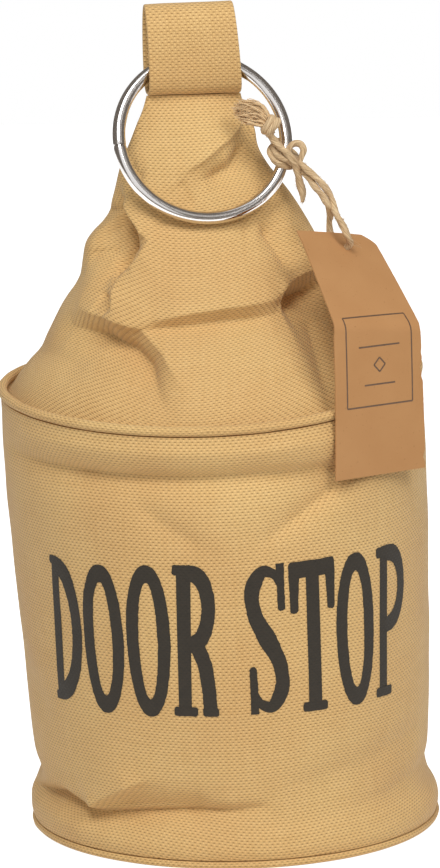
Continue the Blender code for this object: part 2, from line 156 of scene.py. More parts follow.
# a round strand along path; plies and groove give it the twisted yarns of string
def sweep(name, path, radii, sides=16, plies=0, groove=0.0, turnsPerMetre=0.0, cyclic=False, phase=0.0):
    path, count = np.array(path, float), len(path)
    radii = np.broadcast_to(np.asarray(radii, float), (count,))
    ahead = unit(np.roll(path, -1, 0) - np.roll(path, 1, 0) if cyclic else np.gradient(path, axis=0))
    side = np.zeros_like(path)
    steep = 0.9  # a strand that starts more upright than this takes its first side from another axis
    start = np.cross(ahead[0], (0, 0, 1) if abs(ahead[0][2]) < steep else (1, 0, 0))
    side[0] = start / np.linalg.norm(start)
    for i in range(1, count):
        carried = side[i - 1] - ahead[i] * np.dot(side[i - 1], ahead[i])
        side[i] = carried / np.linalg.norm(carried)
    over = np.cross(ahead, side)
    along = lengthAlong(path)
    twist = along[:, None] * turnsPerMetre * fullTurn
    angle = np.linspace(0, fullTurn, sides + 1)[None, :]
    grid = np.stack([(angle + twist) * radii[:, None], along[:, None] + 0 * angle], -1)
    if cyclic:
        grid = np.concatenate([grid, grid[:1] + [0, lengthRound(path)[-1]]])
    angle = np.linspace(0, fullTurn, sides, endpoint=False)[None, :]
    swell = 1 - groove * (1 - np.abs(np.cos((angle + (twist + phase)) * plies / 2))) if plies else 1 + 0 * angle
    radius = radii[:, None] * swell
    rows = (path[:, None, :] + side[:, None, :] * (np.cos(angle) * radius)[..., None]
            + over[:, None, :] * (np.sin(angle) * radius)[..., None])
    return loft(name, rows, grid, capped=not cyclic, closedAlong=cyclic)


def joinPieces(name, pieces):
    bpy.ops.object.select_all(action="DESELECT")
    for piece in pieces:
        piece.select_set(True)
    bpy.context.view_layer.objects.active = pieces[0]
    bpy.ops.object.join()
    pieces[0].name = pieces[0].data.name = name
    return pieces[0]


def dress(piece, material, slotName, body, *nodes):
    piece.data.materials.clear()
    piece.data.materials.append(material)
    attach(piece, body)
    if nodes:
        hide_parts(*nodes)
    return piece


# camera: the photograph's own view, 1.1 m away and looking a little down

cameraSet = dict(place=(-0.003, -1.10, 0.305), down=9.34, roll=1.0, lens=145.4, sensor=36.0)


def makeCamera():
    data = bpy.data.cameras.new("camera")
    data.sensor_width = cameraSet["sensor"]
    data.lens = cameraSet["lens"]
    camera = placed("camera", data)
    down, roll = math.radians(cameraSet["down"]), math.radians(cameraSet["roll"])
    back = Vector((0, -math.cos(down), math.sin(down)))
    level, upright = Vector((1, 0, 0)), Vector((0, math.sin(down), math.cos(down)))
    right = level * math.cos(roll) - upright * math.sin(roll)
    up = level * math.sin(roll) + upright * math.cos(roll)
    turn = Matrix((right, up, back)).transposed().to_4x4()
    camera.matrix_world = Matrix.Translation(cameraSet["place"]) @ turn
    bpy.context.scene.camera = camera


makeCamera()
print("camera placed")


# the bag's form, in bearing round the bag from the front and level above the floor

bag = dict(
    lean=-0.0405, rimHeight=142.15 * mm, rimRadius=66.0 * mm, baseRadius=65.5 * mm, baseThickness=2.3 * mm,
    gap=0.3 * mm, pipingRadius=1.5 * mm, seamHeight=231.0 * mm, seamHalfWidth=15.0 * mm, seamHalfDepth=1.6 * mm,
    rimRiseRight=0.0407, rimRiseBack=0.0794, rimSagAcross=1.1 * mm, rimSagDiagonal=0.6 * mm,
    neckYaw=math.radians(12), seamLift=1.0 * mm, frontShare=0.3, noiseRadius=66, noiseWrap=414.7,
)
sideBottom = bag["baseThickness"] + bag["gap"]
sideTop = bag["rimHeight"] - bag["pipingRadius"] - bag["gap"]

# folds: places as (bearing in degrees, level in mm), half widths at the left and the right of that line,
# depth in mm and how soft the line is, from 1 for a sharp crease to 2; a ridge is positive
topFolds = [
    ([(58, 223), (17, 216.2), (-12, 209.6)], (1.2, 8.0), 3.0, 1.05),
    ([(56, 215.6), (28, 209.6), (0, 206.8)], (6.0, 2.6), -6.0, 1.3),
    ([(60, 205), (42, 201)], (3.0, 4.0), -1.8, 1.3),
    ([(75, 221.5), (105, 219.5)], (5.0, 4.5), 2.7, 2),
    ([(-75, 223), (-108, 221)], (5.0, 5.0), 1.7, 2),
    ([(-72, 212), (-48, 206)], (3.0, 3.4), -2.4, 1.4),
    ([(-18, 207), (-8, 199)], (2.0, 4.0), -1.6, 1.3),
    ([(-67, 197.6), (-105, 196)], (4.8, 1.6), -3.0, 1.3),
    ([(-72, 188.5), (-104, 187.5)], (5.0, 6.0), 1.9, 2),
    ([(-76, 176), (-108, 175)], (5.0, 5.0), -1.7, 2),
    ([(-62, 202), (-45, 195.6), (-33, 190.6)], (7.0, 1.8), 3.8, 1.05),
    ([(-33, 190), (-38.5, 184.5), (-45, 179.2), (-42.5, 171)], (8.0, 2.0), 3.6, 1.05),
    ([(-74, 199), (-58, 192.4), (-43, 187.4)], (3.4, 8.0), -9.8, 1.6),
    ([(-46, 186.6), (-54, 180)], (4.6, 4.0), -5.4, 1.5),
    ([(-80, 184), (-71, 185.4), (-60, 186.3)], (1.8, 3.6), -2.2, 1.1),
    ([(-54, 174.6), (-48, 173.2), (-43.5, 171.6)], (1.6, 3.8), -3.0, 1.1),
    ([(-64, 169.6), (-45, 169), (-29, 166.8), (-18, 160.5), (-9, 152)], (8.0, 2.2), 3.8, 1.15),
    ([(-68, 163.4), (-48, 162.8), (-33, 160.6), (-24, 156.6), (-14.5, 147)], (3.0, 9.0), -9.2, 1.35),
    ([(-100, 153.5), (-66, 155), (-50, 153.6)], (3.6, 4.6), -2.2, 1.6),
    ([(-24, 169.2), (-8, 171.8), (6, 172.8), (30, 173.2)], (9.0, 2.0), 3.4, 1.3),
    ([(-34, 165.8), (-16, 167.4), (1.5, 168.4), (34, 168.4)], (2.4, 9.0), -5.0, 1.3),
    ([(24, 200), (21, 189)], (1.8, 3.2), -1.5, 1.2),
    ([(33, 194), (38, 185), (40, 180)], (5.0, 4.0), -4.0, 1.3),
    ([(30, 174.5), (36, 177), (46, 178.6), (60, 179)], (7.0, 2.0), 3.0, 1.1),
    ([(32, 171.6), (40, 171.8), (48, 171.8), (62, 172)], (3.2, 9.0), -8.4, 1.3),
    ([(47, 165), (41, 156), (36, 145.5)], (6.0, 5.0), -4.6, 1.4),
    ([(62, 176), (68, 156)], (6.0, 6.0), 1.6, 2),
    ([(88, 205), (100, 186), (112, 170)], (5.0, 3.0), -4.4, 1.3),
    ([(124, 214), (140, 196), (150, 180)], (3.0, 5.0), -4.0, 1.3),
    ([(150, 176), (178, 170), (206, 172)], (4.0, 8.0), -4.0, 1.3),
    ([(170, 183), (200, 182)], (8.0, 4.0), 2.0, 1.5),
    ([(214, 204), (226, 188), (240, 176)], (5.0, 3.0), -4.6, 1.3),
    ([(246, 160), (262, 152)], (4.0, 6.0), -3.0, 1.5),
]
sideFolds = [
    ([(-66, 126.5), (-20, 127), (12, 127.4), (42, 125)], (2.4, 8.0), -4.8, 1.35),
    ([(-60, 135), (-6, 135.5), (36, 135)], (3.0, 3.0), 0.9, 2),
    ([(44, 124), (34, 119), (27, 114.5), (13, 106)], (2.8, 7.0), -3.2, 1.2),
    ([(-22, 118), (-12, 110), (-4, 104)], (4.0, 5.0), -1.4, 1.5),
    ([(-106, 18), (-76, 18.5)], (3.4, 3.0), -1.6, 1.6),
    ([(-86, 11.6), (-60, 15.8), (-43.8, 13.4), (-18, 16.9), (7, 18.8)], (1.5, 4.4), -4.9, 1.2),
    ([(-92, 9), (-66, 9), (-38, 8)], (3.0, 3.0), 1.2, 2),
    ([(-47, 13.8), (-38, 19.5), (-25, 27)], (6.0, 1.6), 3.4, 1.15),
    ([(-40, 17), (-18, 19.4), (-6, 20)], (4.0, 2.4), -3.2, 1.5),
    ([(40, 16), (76, 20), (112, 18)], (3.0, 5.0), -1.1, 1.5),
    ([(60, 8), (90, 8), (120, 9)], (4.0, 4.0), 0.8, 2),
    ([(14, 24), (46, 30), (70, 34)], (5.0, 7.0), -1.2, 1.7),
    ([(-60, 40), (-84, 60)], (8.0, 8.0), -0.9, 2),
    ([(150, 18), (190, 16), (226, 20)], (3.0, 4.0), -2.4, 1.3),
    ([(140, 120), (180, 126), (214, 121)], (4.0, 6.0), -2.0, 1.4),
    ([(96, 96), (120, 84)], (6.0, 6.0), -1.4, 1.8),
    ([(232, 88), (250, 66)], (7.0, 7.0), -1.3, 1.8),
]
foldEnds = dict(low=0.35, rise=0.65, reach=0.2)  # how strong a fold is at its ends, and the share they take


def rimOffset(bearing):
    turn = bearing - math.pi / 2
    across, back = bag["rimRadius"] * np.cos(turn), bag["rimRadius"] * np.sin(turn)
    return (bag["rimRiseRight"] * across + bag["rimRiseBack"] * back
            + bag["rimSagAcross"] * np.cos(2 * turn) + bag["rimSagDiagonal"] * np.sin(2 * turn))


def rimNoise(bearing, size, seed):  # soft noise once round the bag, with its size in mm
    return softNoise(bearing * bag["noiseRadius"], 0 * bearing, size, seed, bag["noiseWrap"])


def onBag(x, y, height):  # a point of the leaning bag
    return np.stack([bag["lean"] * height + x, y, height + 0 * x], -1)


def roundBag(bearing, radius, height):
    return onBag(radius * np.sin(bearing), -radius * np.cos(bearing), height)


def ripples(panel, around, level, wrap):  # a panel's slow waver and its fine ripple
    return sum(depth * softNoise(around, level, size, seed, wrap)
               for depth, size, seed in (panel["waver"], panel["ripple"]))


def foldDepth(folds, bearing, level, radius):
    total = np.zeros(np.broadcast(bearing, level).shape)
    for places, (widthLeft, widthRight), depth, softness in folds:
        nearest, spot, lean = total * 0 + 1.0, total * 0, total * 0
        for number, ((b0, h0), (b1, h1)) in enumerate(zip(places, places[1:])):
            middle = math.radians((b0 + b1) / 2)
            away = ((bearing - middle + math.pi) % fullTurn - math.pi) * radius
            half, rise = math.radians(b1 - b0) / 2 * radius, (h1 - h0) * mm
            run = 4 * half**2 + rise**2
            t = np.clip(((away + half) * 2 * half + (level - h0 * mm) * rise) / run, 0, 1)
            dx, dy = away + half - 2 * t * half, level - h0 * mm - t * rise
            gap = np.hypot(dx, dy)
            closer = gap < nearest
            beside = (2 * half * dy - rise * dx) / (np.sqrt(run) * np.maximum(gap, 1e-9))
            nearest, lean = np.where(closer, gap, nearest), np.where(closer, beside, lean)
            spot = np.where(closer, (number + t) / (len(places) - 1), spot)
        width = (widthRight + (widthLeft - widthRight) * (0.5 + 0.5 * lean)) * mm
        ended = np.clip(np.minimum(spot, 1 - spot) / foldEnds["reach"], 0, 1)
        fade = foldEnds["low"] + foldEnds["rise"] * ended
        total = total + depth * mm * fade * np.exp(-(nearest / width) ** softness)
    return total


# waver and ripple are each a depth, a size and a seed; the outline, from below to above, is a level and how far
# out it lies, both in mm, first from the base's radius and then from the rim's
sidePanel = dict(
    columns=440, lowRows=54, highRows=111, lowTop=32 * mm, weaveAcross=0.86 * mm, weaveUp=0.89 * mm, evening=12,
    waver=(0.5 * mm, 34 * mm, 3), ripple=(0.16 * mm, 11 * mm, 8), tiltPower=1.5, easeLow=6 * mm, easeHigh=5 * mm,
    footOut=-0.5, overBase=[(4.6, 0), (9, -0.6), (14, -2.1), (20, -2.3), (30, -1.6), (70, 0.3)],
    underRim=[(101, 0.95), (125, 1.2)], topOut=0.6, fill=0.9,
)


def bearings(count):  # all the way round from the back, closer together at the front
    even = np.linspace(-math.pi, math.pi, count, endpoint=False)
    return even - bag["frontShare"] * np.sin(even)


def sidePlace(bearing, level):  # a point of the side panel's outer face
    base, rim = bag["baseRadius"], bag["rimRadius"]
    profile = [(sideBottom, base + sidePanel["footOut"] * mm),
               *((up * mm, base + out * mm) for up, out in sidePanel["overBase"]),
               *((up * mm, rim + out * mm) for up, out in sidePanel["underRim"]),
               (sideTop, rim + sidePanel["topOut"] * mm)]
    radius = smoothThrough(profile, level)
    tilt = rimOffset(bearing) * (radius / rim) * (level / sideTop) ** sidePanel["tiltPower"]
    ease = (np.clip((level - sideBottom) / sidePanel["easeLow"], 0, 1)
            * np.clip((sideTop - level) / sidePanel["easeHigh"], 0, 1))
    soft = ripples(sidePanel, bearing * rim, level, fullTurn * rim)
    radius = radius + (foldDepth(sideFolds, bearing, level, rim) + soft) * ease
    return roundBag(bearing, radius, level + tilt)


# the half widths and half depths are in mm, one for each level above the rim between the first and the last
topPanel = dict(
    columns=440, rows=190, waver=(0.55 * mm, 30 * mm, 5), ripple=(0.2 * mm, 9 * mm, 9), evening=22,
    above=[-1.5, 5.9, 12.9, 25.4, 37.9, 47.9, 57.9, 70.4, 79.9, 88.85],
    left=[59.0, 53.4, 45.5, 39.0, 33.5, 28.0, 23.3, 17.8],
    right=[59.0, 53.5, 45.0, 38.8, 34.3, 29.0, 20.3, 16.5],
    deep=[58.0, 51.0, 39.5, 28.2, 21.3, 15.6, 9.8, 5.5],
    foldPower=0.4, tiltPower=1.3, liftPower=3, fill=0.6,
    flatReach=64 * mm, flatPower=0.75, rowRise=8.0, riseShare=2,
)


def topShare(level):  # from 0 at the rim to 1 at the seam
    return np.clip((level - bag["rimHeight"]) / (bag["seamHeight"] - bag["rimHeight"]), 0, 1)


def topPlace(bearing, level):  # a point of the gathered top panel
    foot = bag["rimRadius"] - bag["pipingRadius"] - bag["gap"]
    share, above = topShare(level), (level - bag["rimHeight"]) / mm

    def half(side, atSeam):
        sizes = [foot, *(size * mm for size in topPanel[side]), bag[atSeam]]
        return smoothThrough(list(zip(topPanel["above"], sizes)), above)

    halfWidth = np.where(np.sin(bearing) < 0, half("left", "seamHalfWidth"), half("right", "seamHalfWidth"))
    halfDepth = half("deep", "seamHalfDepth") + 0 * bearing
    middle = np.sin(math.pi * share)
    soft = ripples(topPanel, bearing * foot, level, fullTurn * foot) * middle
    fold = foldDepth(topFolds, bearing, level, halfWidth) * middle ** topPanel["foldPower"] + soft
    x, y = (halfWidth + fold) * np.sin(bearing), -(halfDepth + fold) * np.cos(bearing)
    x, y = rotated(x, y, bag["neckYaw"] * share)
    tilt = rimOffset(bearing) * (foot / bag["rimRadius"]) * (1 - share) ** topPanel["tiltPower"]
    return onBag(x, y, level + tilt + bag["seamLift"] * share ** topPanel["liftPower"])


# cloth: a coarse plain weave, drawn from the flat cloth places, so it follows every panel

# gapAndShadeColour colours the low weave: the gaps between threads, and the painted shade under each weft float
cloth = dict(
    thread=sRGB(218, 175, 108), lightThread=sRGB(246, 208, 144), gapAndShadeColour=sRGB(140, 96, 46),
    bumpDepth=0.25 * mm, bumpStrength=0.8, roughness=0.72, sheen=0.12, specular=0.35, gapAndShadePower=0.8,
    wander=(260, 260), wanderAcross=0.5, wanderUp=-0.4, shadowPower=2.2, shadowDepth=-0.85,
    warpRise=0.5, warpFoot=0.5, weftRise=0.25, weftFoot=0.6,
    slubUp=(60, 1100), slubAcross=(1000, 60), cloud=(22, 22), cloudDepth=0.22, shade=0.89, bluePower=2.6,
)


class Wires:  # short calls for the node tree of a new material, or of another owner
    def __init__(self, name, owner=None):
        self.material = owner or bpy.data.materials.new(name)
        self.material.use_nodes = True
        self.tree = self.material.node_tree
        self.shader = self.tree.nodes.get("Principled BSDF")

    def directRay(self):  # 1 for what the camera sees, straight or in a mirror or through something clear
        path = self.add("ShaderNodeLightPath")
        first = self.math("MAXIMUM", path.outputs["Is Camera Ray"], path.outputs["Is Glossy Ray"])
        return self.math("MAXIMUM", first, path.outputs["Is Transmission Ray"])

    def choose(self, share, first, second, output):  # the second shader where share is 1
        node = self.add("ShaderNodeMixShader", share, first, second)
        self.plug(self.tree.nodes[output].inputs["Surface"], node.outputs[0])

    def add(self, kind, *inputs, **settings):
        node = self.tree.nodes.new(kind)
        for key, value in settings.items():
            setattr(node, key, value)
        for socket, value in zip(node.inputs, inputs):
            self.plug(socket, value)
        return node

    def plug(self, socket, value):
        if hasattr(value, "is_linked"):
            self.tree.links.new(value, socket)
        elif value is not None:
            socket.default_value = value

    def math(self, operation, *values):
        return self.add("ShaderNodeMath", *values, operation=operation).outputs[0]

    def mix(self, share, a, b, blend="MIX"):
        node = self.add("ShaderNodeMix", share, data_type="RGBA", blend_type=blend)
        self.plug(node.inputs[6], a)
        self.plug(node.inputs[7], b)
        return node.outputs[2]

    def noise(self, where, stretch, detail=2.0, roughness=0.5):  # finer where stretch is larger
        place = self.add("ShaderNodeMapping", where)
        self.plug(place.inputs["Scale"], (*stretch, 1.0)[:3])
        node = self.add("ShaderNodeTexNoise", place.outputs[0])
        for key, value in (("Scale", 1.0), ("Detail", detail), ("Roughness", roughness)):
            self.plug(node.inputs[key], value)
        return node.outputs[0]

    def look(self, **values):
        names = dict(colour="Base Color", roughness="Roughness", metallic="Metallic",
                     specular="Specular IOR Level", sheen="Sheen Weight")
        for key, value in values.items():
            self.plug(self.shader.inputs[names[key]], value)

    def bump(self, height, distance, strength):
        node = self.add("ShaderNodeBump")
        for key, value in (("Height", height), ("Distance", distance), ("Strength", strength)):
            self.plug(node.inputs[key], value)
        self.plug(self.shader.inputs["Normal"], node.outputs[0])

    def clothPlace(self):
        return self.add("ShaderNodeUVMap", uv_map="cloth").outputs[0]


# bright round warp floats, and weft floats with a painted shade band under each, darkest at the float's lower
# side as if lit from above; this height gives the bump and also the colour's mask
def weaveHeight(w, pitchAcross, pitchUp):
    uv = w.clothPlace()
    split = w.add("ShaderNodeSeparateXYZ", uv)
    wander = w.noise(uv, cloth["wander"])
    across, up = (w.math("MULTIPLY_ADD", wander, cloth[by], w.math("DIVIDE", split.outputs[k], pitch))
                  for k, pitch, by in ((0, pitchAcross, "wanderAcross"), (1, pitchUp, "wanderUp")))
    placeUp = w.math("FRACT", up)
    hillAcross = w.math("SINE", w.math("MULTIPLY", w.math("FRACT", across), math.pi))
    hillUp = w.math("SINE", w.math("MULTIPLY", placeUp, math.pi))
    cells = w.math("ADD", w.math("FLOOR", across), w.math("FLOOR", up))
    warpOver = w.math("MODULO", w.math("ABSOLUTE", cells), 2.0)
    rounded = w.math("MULTIPLY", hillAcross, hillUp)
    warp = w.math("MULTIPLY_ADD", rounded, cloth["warpRise"], cloth["warpFoot"])
    # painted shade: darkest at the lower edge of each weft float, where light from above would leave it
    lowerEdgeShade = w.math("POWER", w.math("SUBTRACT", 1.0, placeUp), cloth["shadowPower"])
    shadow = w.math("MULTIPLY", lowerEdgeShade, hillAcross)
    lit = w.math("MULTIPLY_ADD", hillUp, cloth["weftRise"], cloth["weftFoot"])
    weft = w.math("MULTIPLY_ADD", shadow, cloth["shadowDepth"], lit)
    under = w.math("SUBTRACT", 1.0, warpOver)
    return uv, w.math("ADD", w.math("MULTIPLY", warp, warpOver), w.math("MULTIPLY", weft, under))


def clothMaterial(name, pitchAcross=sidePanel["weaveAcross"], pitchUp=sidePanel["weaveUp"]):
    w = Wires(name)
    uv, height = weaveHeight(w, pitchAcross, pitchUp)
    slub = w.math("ADD", *(w.math("MULTIPLY", w.noise(uv, cloth[k]), 0.5) for k in ("slubUp", "slubAcross")))
    thread = w.mix(slub, cloth["thread"], cloth["lightThread"])
    # thread colour where the weave stands high, the gap colour where it is low: the gaps between threads and the
    # painted shade under each weft float
    seen = w.math("POWER", w.math("MAXIMUM", height, 0.0), cloth["gapAndShadePower"])
    shade = w.math("MULTIPLY_ADD", w.noise(uv, cloth["cloud"], 3.0), cloth["cloudDepth"], cloth["shade"])
    tint = w.add("ShaderNodeCombineColor", shade, w.math("MULTIPLY", shade, shade),
                 w.math("POWER", shade, cloth["bluePower"]))
    w.look(colour=w.mix(1.0, w.mix(seen, cloth["gapAndShadeColour"], thread), tint.outputs[0], "MULTIPLY"),
           roughness=cloth["roughness"], sheen=cloth["sheen"], specular=cloth["specular"])
    w.bump(height, cloth["bumpDepth"], cloth["bumpStrength"])
    return w.material


canvas = clothMaterial("canvas")
print("cloth woven")


# the panels

# length of cloth down from the top row to each point, evened out sideways three times over
def clothDown(rows, reach):
    steps = np.linalg.norm(np.diff(rows, axis=0), axis=2)
    down = np.concatenate([np.cumsum(steps[::-1], axis=0)[::-1], 0 * rows[:1, :, 0]])
    for _ in range(3):
        down = np.mean([np.roll(down, k, axis=1) for k in range(-reach, reach + 1)], axis=0)
    return np.concatenate([down, down[:, :1]], 1)  # with the first column again at the end


def makeSidePanel():
    low = np.linspace(sideBottom, sidePanel["lowTop"], sidePanel["lowRows"], endpoint=False)
    high = np.linspace(sidePanel["lowTop"], sideTop, sidePanel["highRows"])
    level = np.concatenate([low, high])[:, None]
    bearing = bearings(sidePanel["columns"])[None, :]
    rows = sidePlace(bearing, level)
    flat = (np.append(bearing, math.pi)[None, :] + math.pi) * bag["rimRadius"]
    grid = np.stack([flat + 0 * level, bag["rimHeight"] - clothDown(rows, sidePanel["evening"])], -1)
    piece = dress(loft("side_panel", rows, grid), canvas, "canvas", "bag", "lower_bag")


def makeTopPanel():
    level = np.linspace(bag["rimHeight"] - bag["pipingRadius"], bag["seamHeight"], topPanel["rows"])[:, None]
    bearing = bearings(topPanel["columns"])[None, :]
    rows = topPlace(bearing, level)
    around = np.append(bearing, math.pi)[None, :]
    share, reach = topShare(level), topPanel["flatReach"]
    wide = reach - (reach - bag["seamHalfWidth"]) * share ** topPanel["flatPower"]
    deep = reach - (reach - bag["seamHalfDepth"]) * share ** topPanel["flatPower"]
    step = np.hypot(wide * np.cos(around), deep * np.sin(around)) * np.gradient(around[0])[None, :]
    flat = np.cumsum(step, axis=1) - np.cumsum(step, axis=1)[:, topPanel["columns"] // 2][:, None]
    rise = (topPanel["rowRise"] * (wide * np.sin(around)) ** 2
            * np.clip((1 - share) * topPanel["riseShare"], 0, 1))
    grid = np.stack([flat, -clothDown(rows, topPanel["evening"]) - rise], -1)
    piece = dress(loft("top_panel", rows, grid), canvas, "canvas", "bag", "upper_bag")


makeSidePanel()
makeTopPanel()
print("bag panels made")


# piping round the shoulder and the bound base

# cast and bulge are each a depth, a size in mm and a seed; the weave's pitch is across and up
piping = dict(rings=900, sides=20, cast=(0.05 * mm, 4, 4), bulge=(0.06, 7, 6), weave=(0.9 * mm, 0.8 * mm))


def makePiping():
    bearing = np.linspace(0, fullTurn, piping["rings"], endpoint=False)
    (cast, castSize, castSeed), (bulge, bulgeSize, bulgeSeed) = piping["cast"], piping["bulge"]
    height = bag["rimHeight"] + rimOffset(bearing) + cast * rimNoise(bearing, castSize, castSeed)
    thick = bag["pipingRadius"] * (1 + bulge * rimNoise(bearing, bulgeSize, bulgeSeed))
    ring = roundBag(bearing, bag["rimRadius"], height)
    piece = sweep("shoulder_piping_cover", ring, thick, sides=piping["sides"], cyclic=True)
    layer = piece.data.uv_layers["cloth"].data
    flat = np.zeros(len(layer) * 2, np.float32)
    layer.foreach_get("uv", flat)
    layer.foreach_set("uv", flat.reshape(-1, 2)[:, ::-1].ravel())  # the threads run along the piping
    dress(piece, clothMaterial("piping canvas", *piping["weave"]), "canvas", "bag", "shoulder_piping")


basePanel = dict(
    columns=440, uneven=0.12 * mm, unevenSize=9, unevenSeed=2,
    steps=[(0.0, -5), (0.0, -1.0), (0.1, -0.35), (0.5, 0.0), (1.2, 0.2), (1.8, 0.05), (2.15, -0.5),
           (2.3, -1.3), (2.3, -4)],  # the hem from below to above: level, and how far out, in mm
)


def makeBase():
    steps = np.array(basePanel["steps"]) * mm
    bearing = np.linspace(0, fullTurn, basePanel["columns"], endpoint=False) + math.pi
    uneven = basePanel["uneven"] * rimNoise(bearing, basePanel["unevenSize"], basePanel["unevenSeed"])
    rows = []
    for height, out in steps:
        r = bag["baseRadius"] + out + uneven
        rows.append(np.stack([r * np.sin(bearing), -r * np.cos(bearing), height + 0 * r], -1))
    around = np.linspace(0, fullTurn, basePanel["columns"] + 1) * bag["baseRadius"]
    grid = flatGrid(around, lengthAlong(steps))
    dress(loft("base_hem", np.array(rows), grid), canvas, "canvas", "bag", "base_panel")


makePiping()
makeBase()
print("piping and base made")


# strap loop: one band of folded cloth, sewn into the top seam

# half is the front half of the loop, as shares of the half gap and of the height above the foot
strap = dict(
    width=29.6 * mm, thickness=1.3 * mm, height=29.3 * mm, halfGap=6.5 * mm, foot=1.35 * mm, rows=220,
    half=[(0.0, 0.0), (0.38, 0.02), (0.6, 0.07), (0.74, 0.15), (0.85, 0.27), (0.94, 0.42), (1.0, 0.62),
          (0.97, 0.78), (0.8, 0.9), (0.44, 0.98), (0.0, 1.0)],
    lean=-2.7, twist=math.radians(-7), twistPower=1.2, taper=0.065, topLevel=0.55, flatShare=0.96, edgeShare=0.04,
    flatSteps=15, edgeSteps=10, puff=0.12 * mm, puffSize=8 * mm, puffSeed=12, weave=(1.0 * mm, 0.86 * mm),
)
neck = (Matrix.Translation((bag["lean"] * bag["seamHeight"], 0, bag["seamHeight"] + bag["gap"]))
        @ Matrix.Rotation(bag["neckYaw"], 4, "Z") @ Matrix.Rotation(math.radians(strap["lean"]), 4, "Y"))


def strapSection():  # two flat faces with rounded edges
    halfWide, halfThick = strap["width"] / 2, strap["thickness"] / 2
    section = []
    for side in (1, -1):
        for k in range(2 * strap["flatSteps"] + 1):
            out = side * halfWide * (1 - k / strap["flatSteps"]) * strap["flatShare"]
            section.append((out, side * halfThick))
        for k in range(1, strap["edgeSteps"]):
            a = side * math.pi / 2 + math.pi * k / strap["edgeSteps"]
            out = -side * halfWide * strap["flatShare"] + math.cos(a) * halfWide * strap["edgeShare"]
            section.append((out, math.sin(a) * halfThick))
    return np.array(section)


def makeStrap():
    rise = strap["height"] - strap["foot"] - strap["thickness"] / 2
    front = [(0, -g * strap["halfGap"], strap["foot"] + u * rise) for g, u in strap["half"]]
    back = [(0, -y, z) for x, y, z in front[-2:0:-1]]
    path = smoothRoute(front + back + [front[0]], strap["rows"] + 1)[:-1]
    ahead = unit(np.roll(path, -1, 0) - np.roll(path, 1, 0))
    out = np.cross((1.0, 0, 0), ahead)
    out = out * np.sign(np.sum(out * (path - path.mean(0)), axis=1).mean())
    section, along = strapSection(), lengthAlong(path)
    across, lift = section[:, 0][None, :], section[:, 1][None, :]
    z = path[:, 2][:, None]
    share = np.clip(z / strap["height"], 0, 1)
    puff = softNoise(across + 0 * z, along[:, None] + 0 * across, strap["puffSize"], strap["puffSeed"])
    lift = lift + strap["puff"] * puff
    level = -math.tan(math.radians(strap["lean"])) * across * (1 - strap["topLevel"] * share)
    x, y = rotated(across * (1 - strap["taper"] * share), path[:, 1][:, None] + out[:, 1][:, None] * lift,
                   strap["twist"] * share ** strap["twistPower"])
    turned = np.array(neck)
    rows = np.stack([x, y, z - level + out[:, 2][:, None] * lift], -1) @ turned[:3, :3].T + turned[:3, 3]
    grid = flatGrid(lengthRound(section), lengthRound(path))
    piece = loft("strap_band", rows, grid, capped=False, closedAlong=True)
    dress(piece, clothMaterial("strap canvas", *strap["weave"]), "canvas", "bag", "strap_loop")


makeStrap()
print("strap made")


# carry ring: bent steel wire whose ends meet at the left

ring = dict(radius=26.3 * mm, wire=2.0 * mm, jointGap=0.14 * mm, jointAngle=math.radians(-91), tilt=24.0,
            axisHeight=9.7 * mm, steps=300, sides=32, easedEnd=0.5 * mm, easing=0.06,
            colour=(0.74, 0.71, 0.69, 1), smoothest=0.11, drawnDepth=0.08, drawn=(700, 30))
swing = (neck @ Matrix.Translation((0, 0, ring["axisHeight"]))
         @ Matrix.Rotation(math.radians(-ring["tilt"]), 4, "X"))
# the ring hangs on the strap's width, so its centre lies a little less than its radius under the axis
ringDrop = ring["radius"] - (ring["radius"] - math.sqrt(ring["radius"]**2 - (strap["width"] / 2) ** 2)) / 2


def ringPlace(angle):
    return swing @ Vector((ring["radius"] * math.sin(angle), 0, ring["radius"] * math.cos(angle) - ringDrop))


def makeRing():
    halfGap = ring["jointGap"] / ring["radius"] / 2
    angles = np.linspace(ring["jointAngle"] + halfGap, ring["jointAngle"] + fullTurn - halfGap, ring["steps"])
    fromEnd = np.minimum(angles - angles[0], angles[-1] - angles) / (ring["easedEnd"] / ring["radius"])
    thick = ring["wire"] * (1 - ring["easing"] * np.clip(1 - fromEnd, 0, 1) ** 2)  # eased where it was cut
    piece = sweep("carry_ring_polished", [ringPlace(a) for a in angles], thick, sides=ring["sides"])
    w = Wires("polished steel")
    drawn = w.noise(w.clothPlace(), ring["drawn"])
    w.look(colour=ring["colour"], metallic=1.0,
           roughness=w.math("MULTIPLY_ADD", drawn, ring["drawnDepth"], ring["smoothest"]))
    dress(piece, w.material, "ring", "ring", "carry_ring")


makeRing()
print("ring made")


# kraft tag: folded across its middle, with a plain printed frame

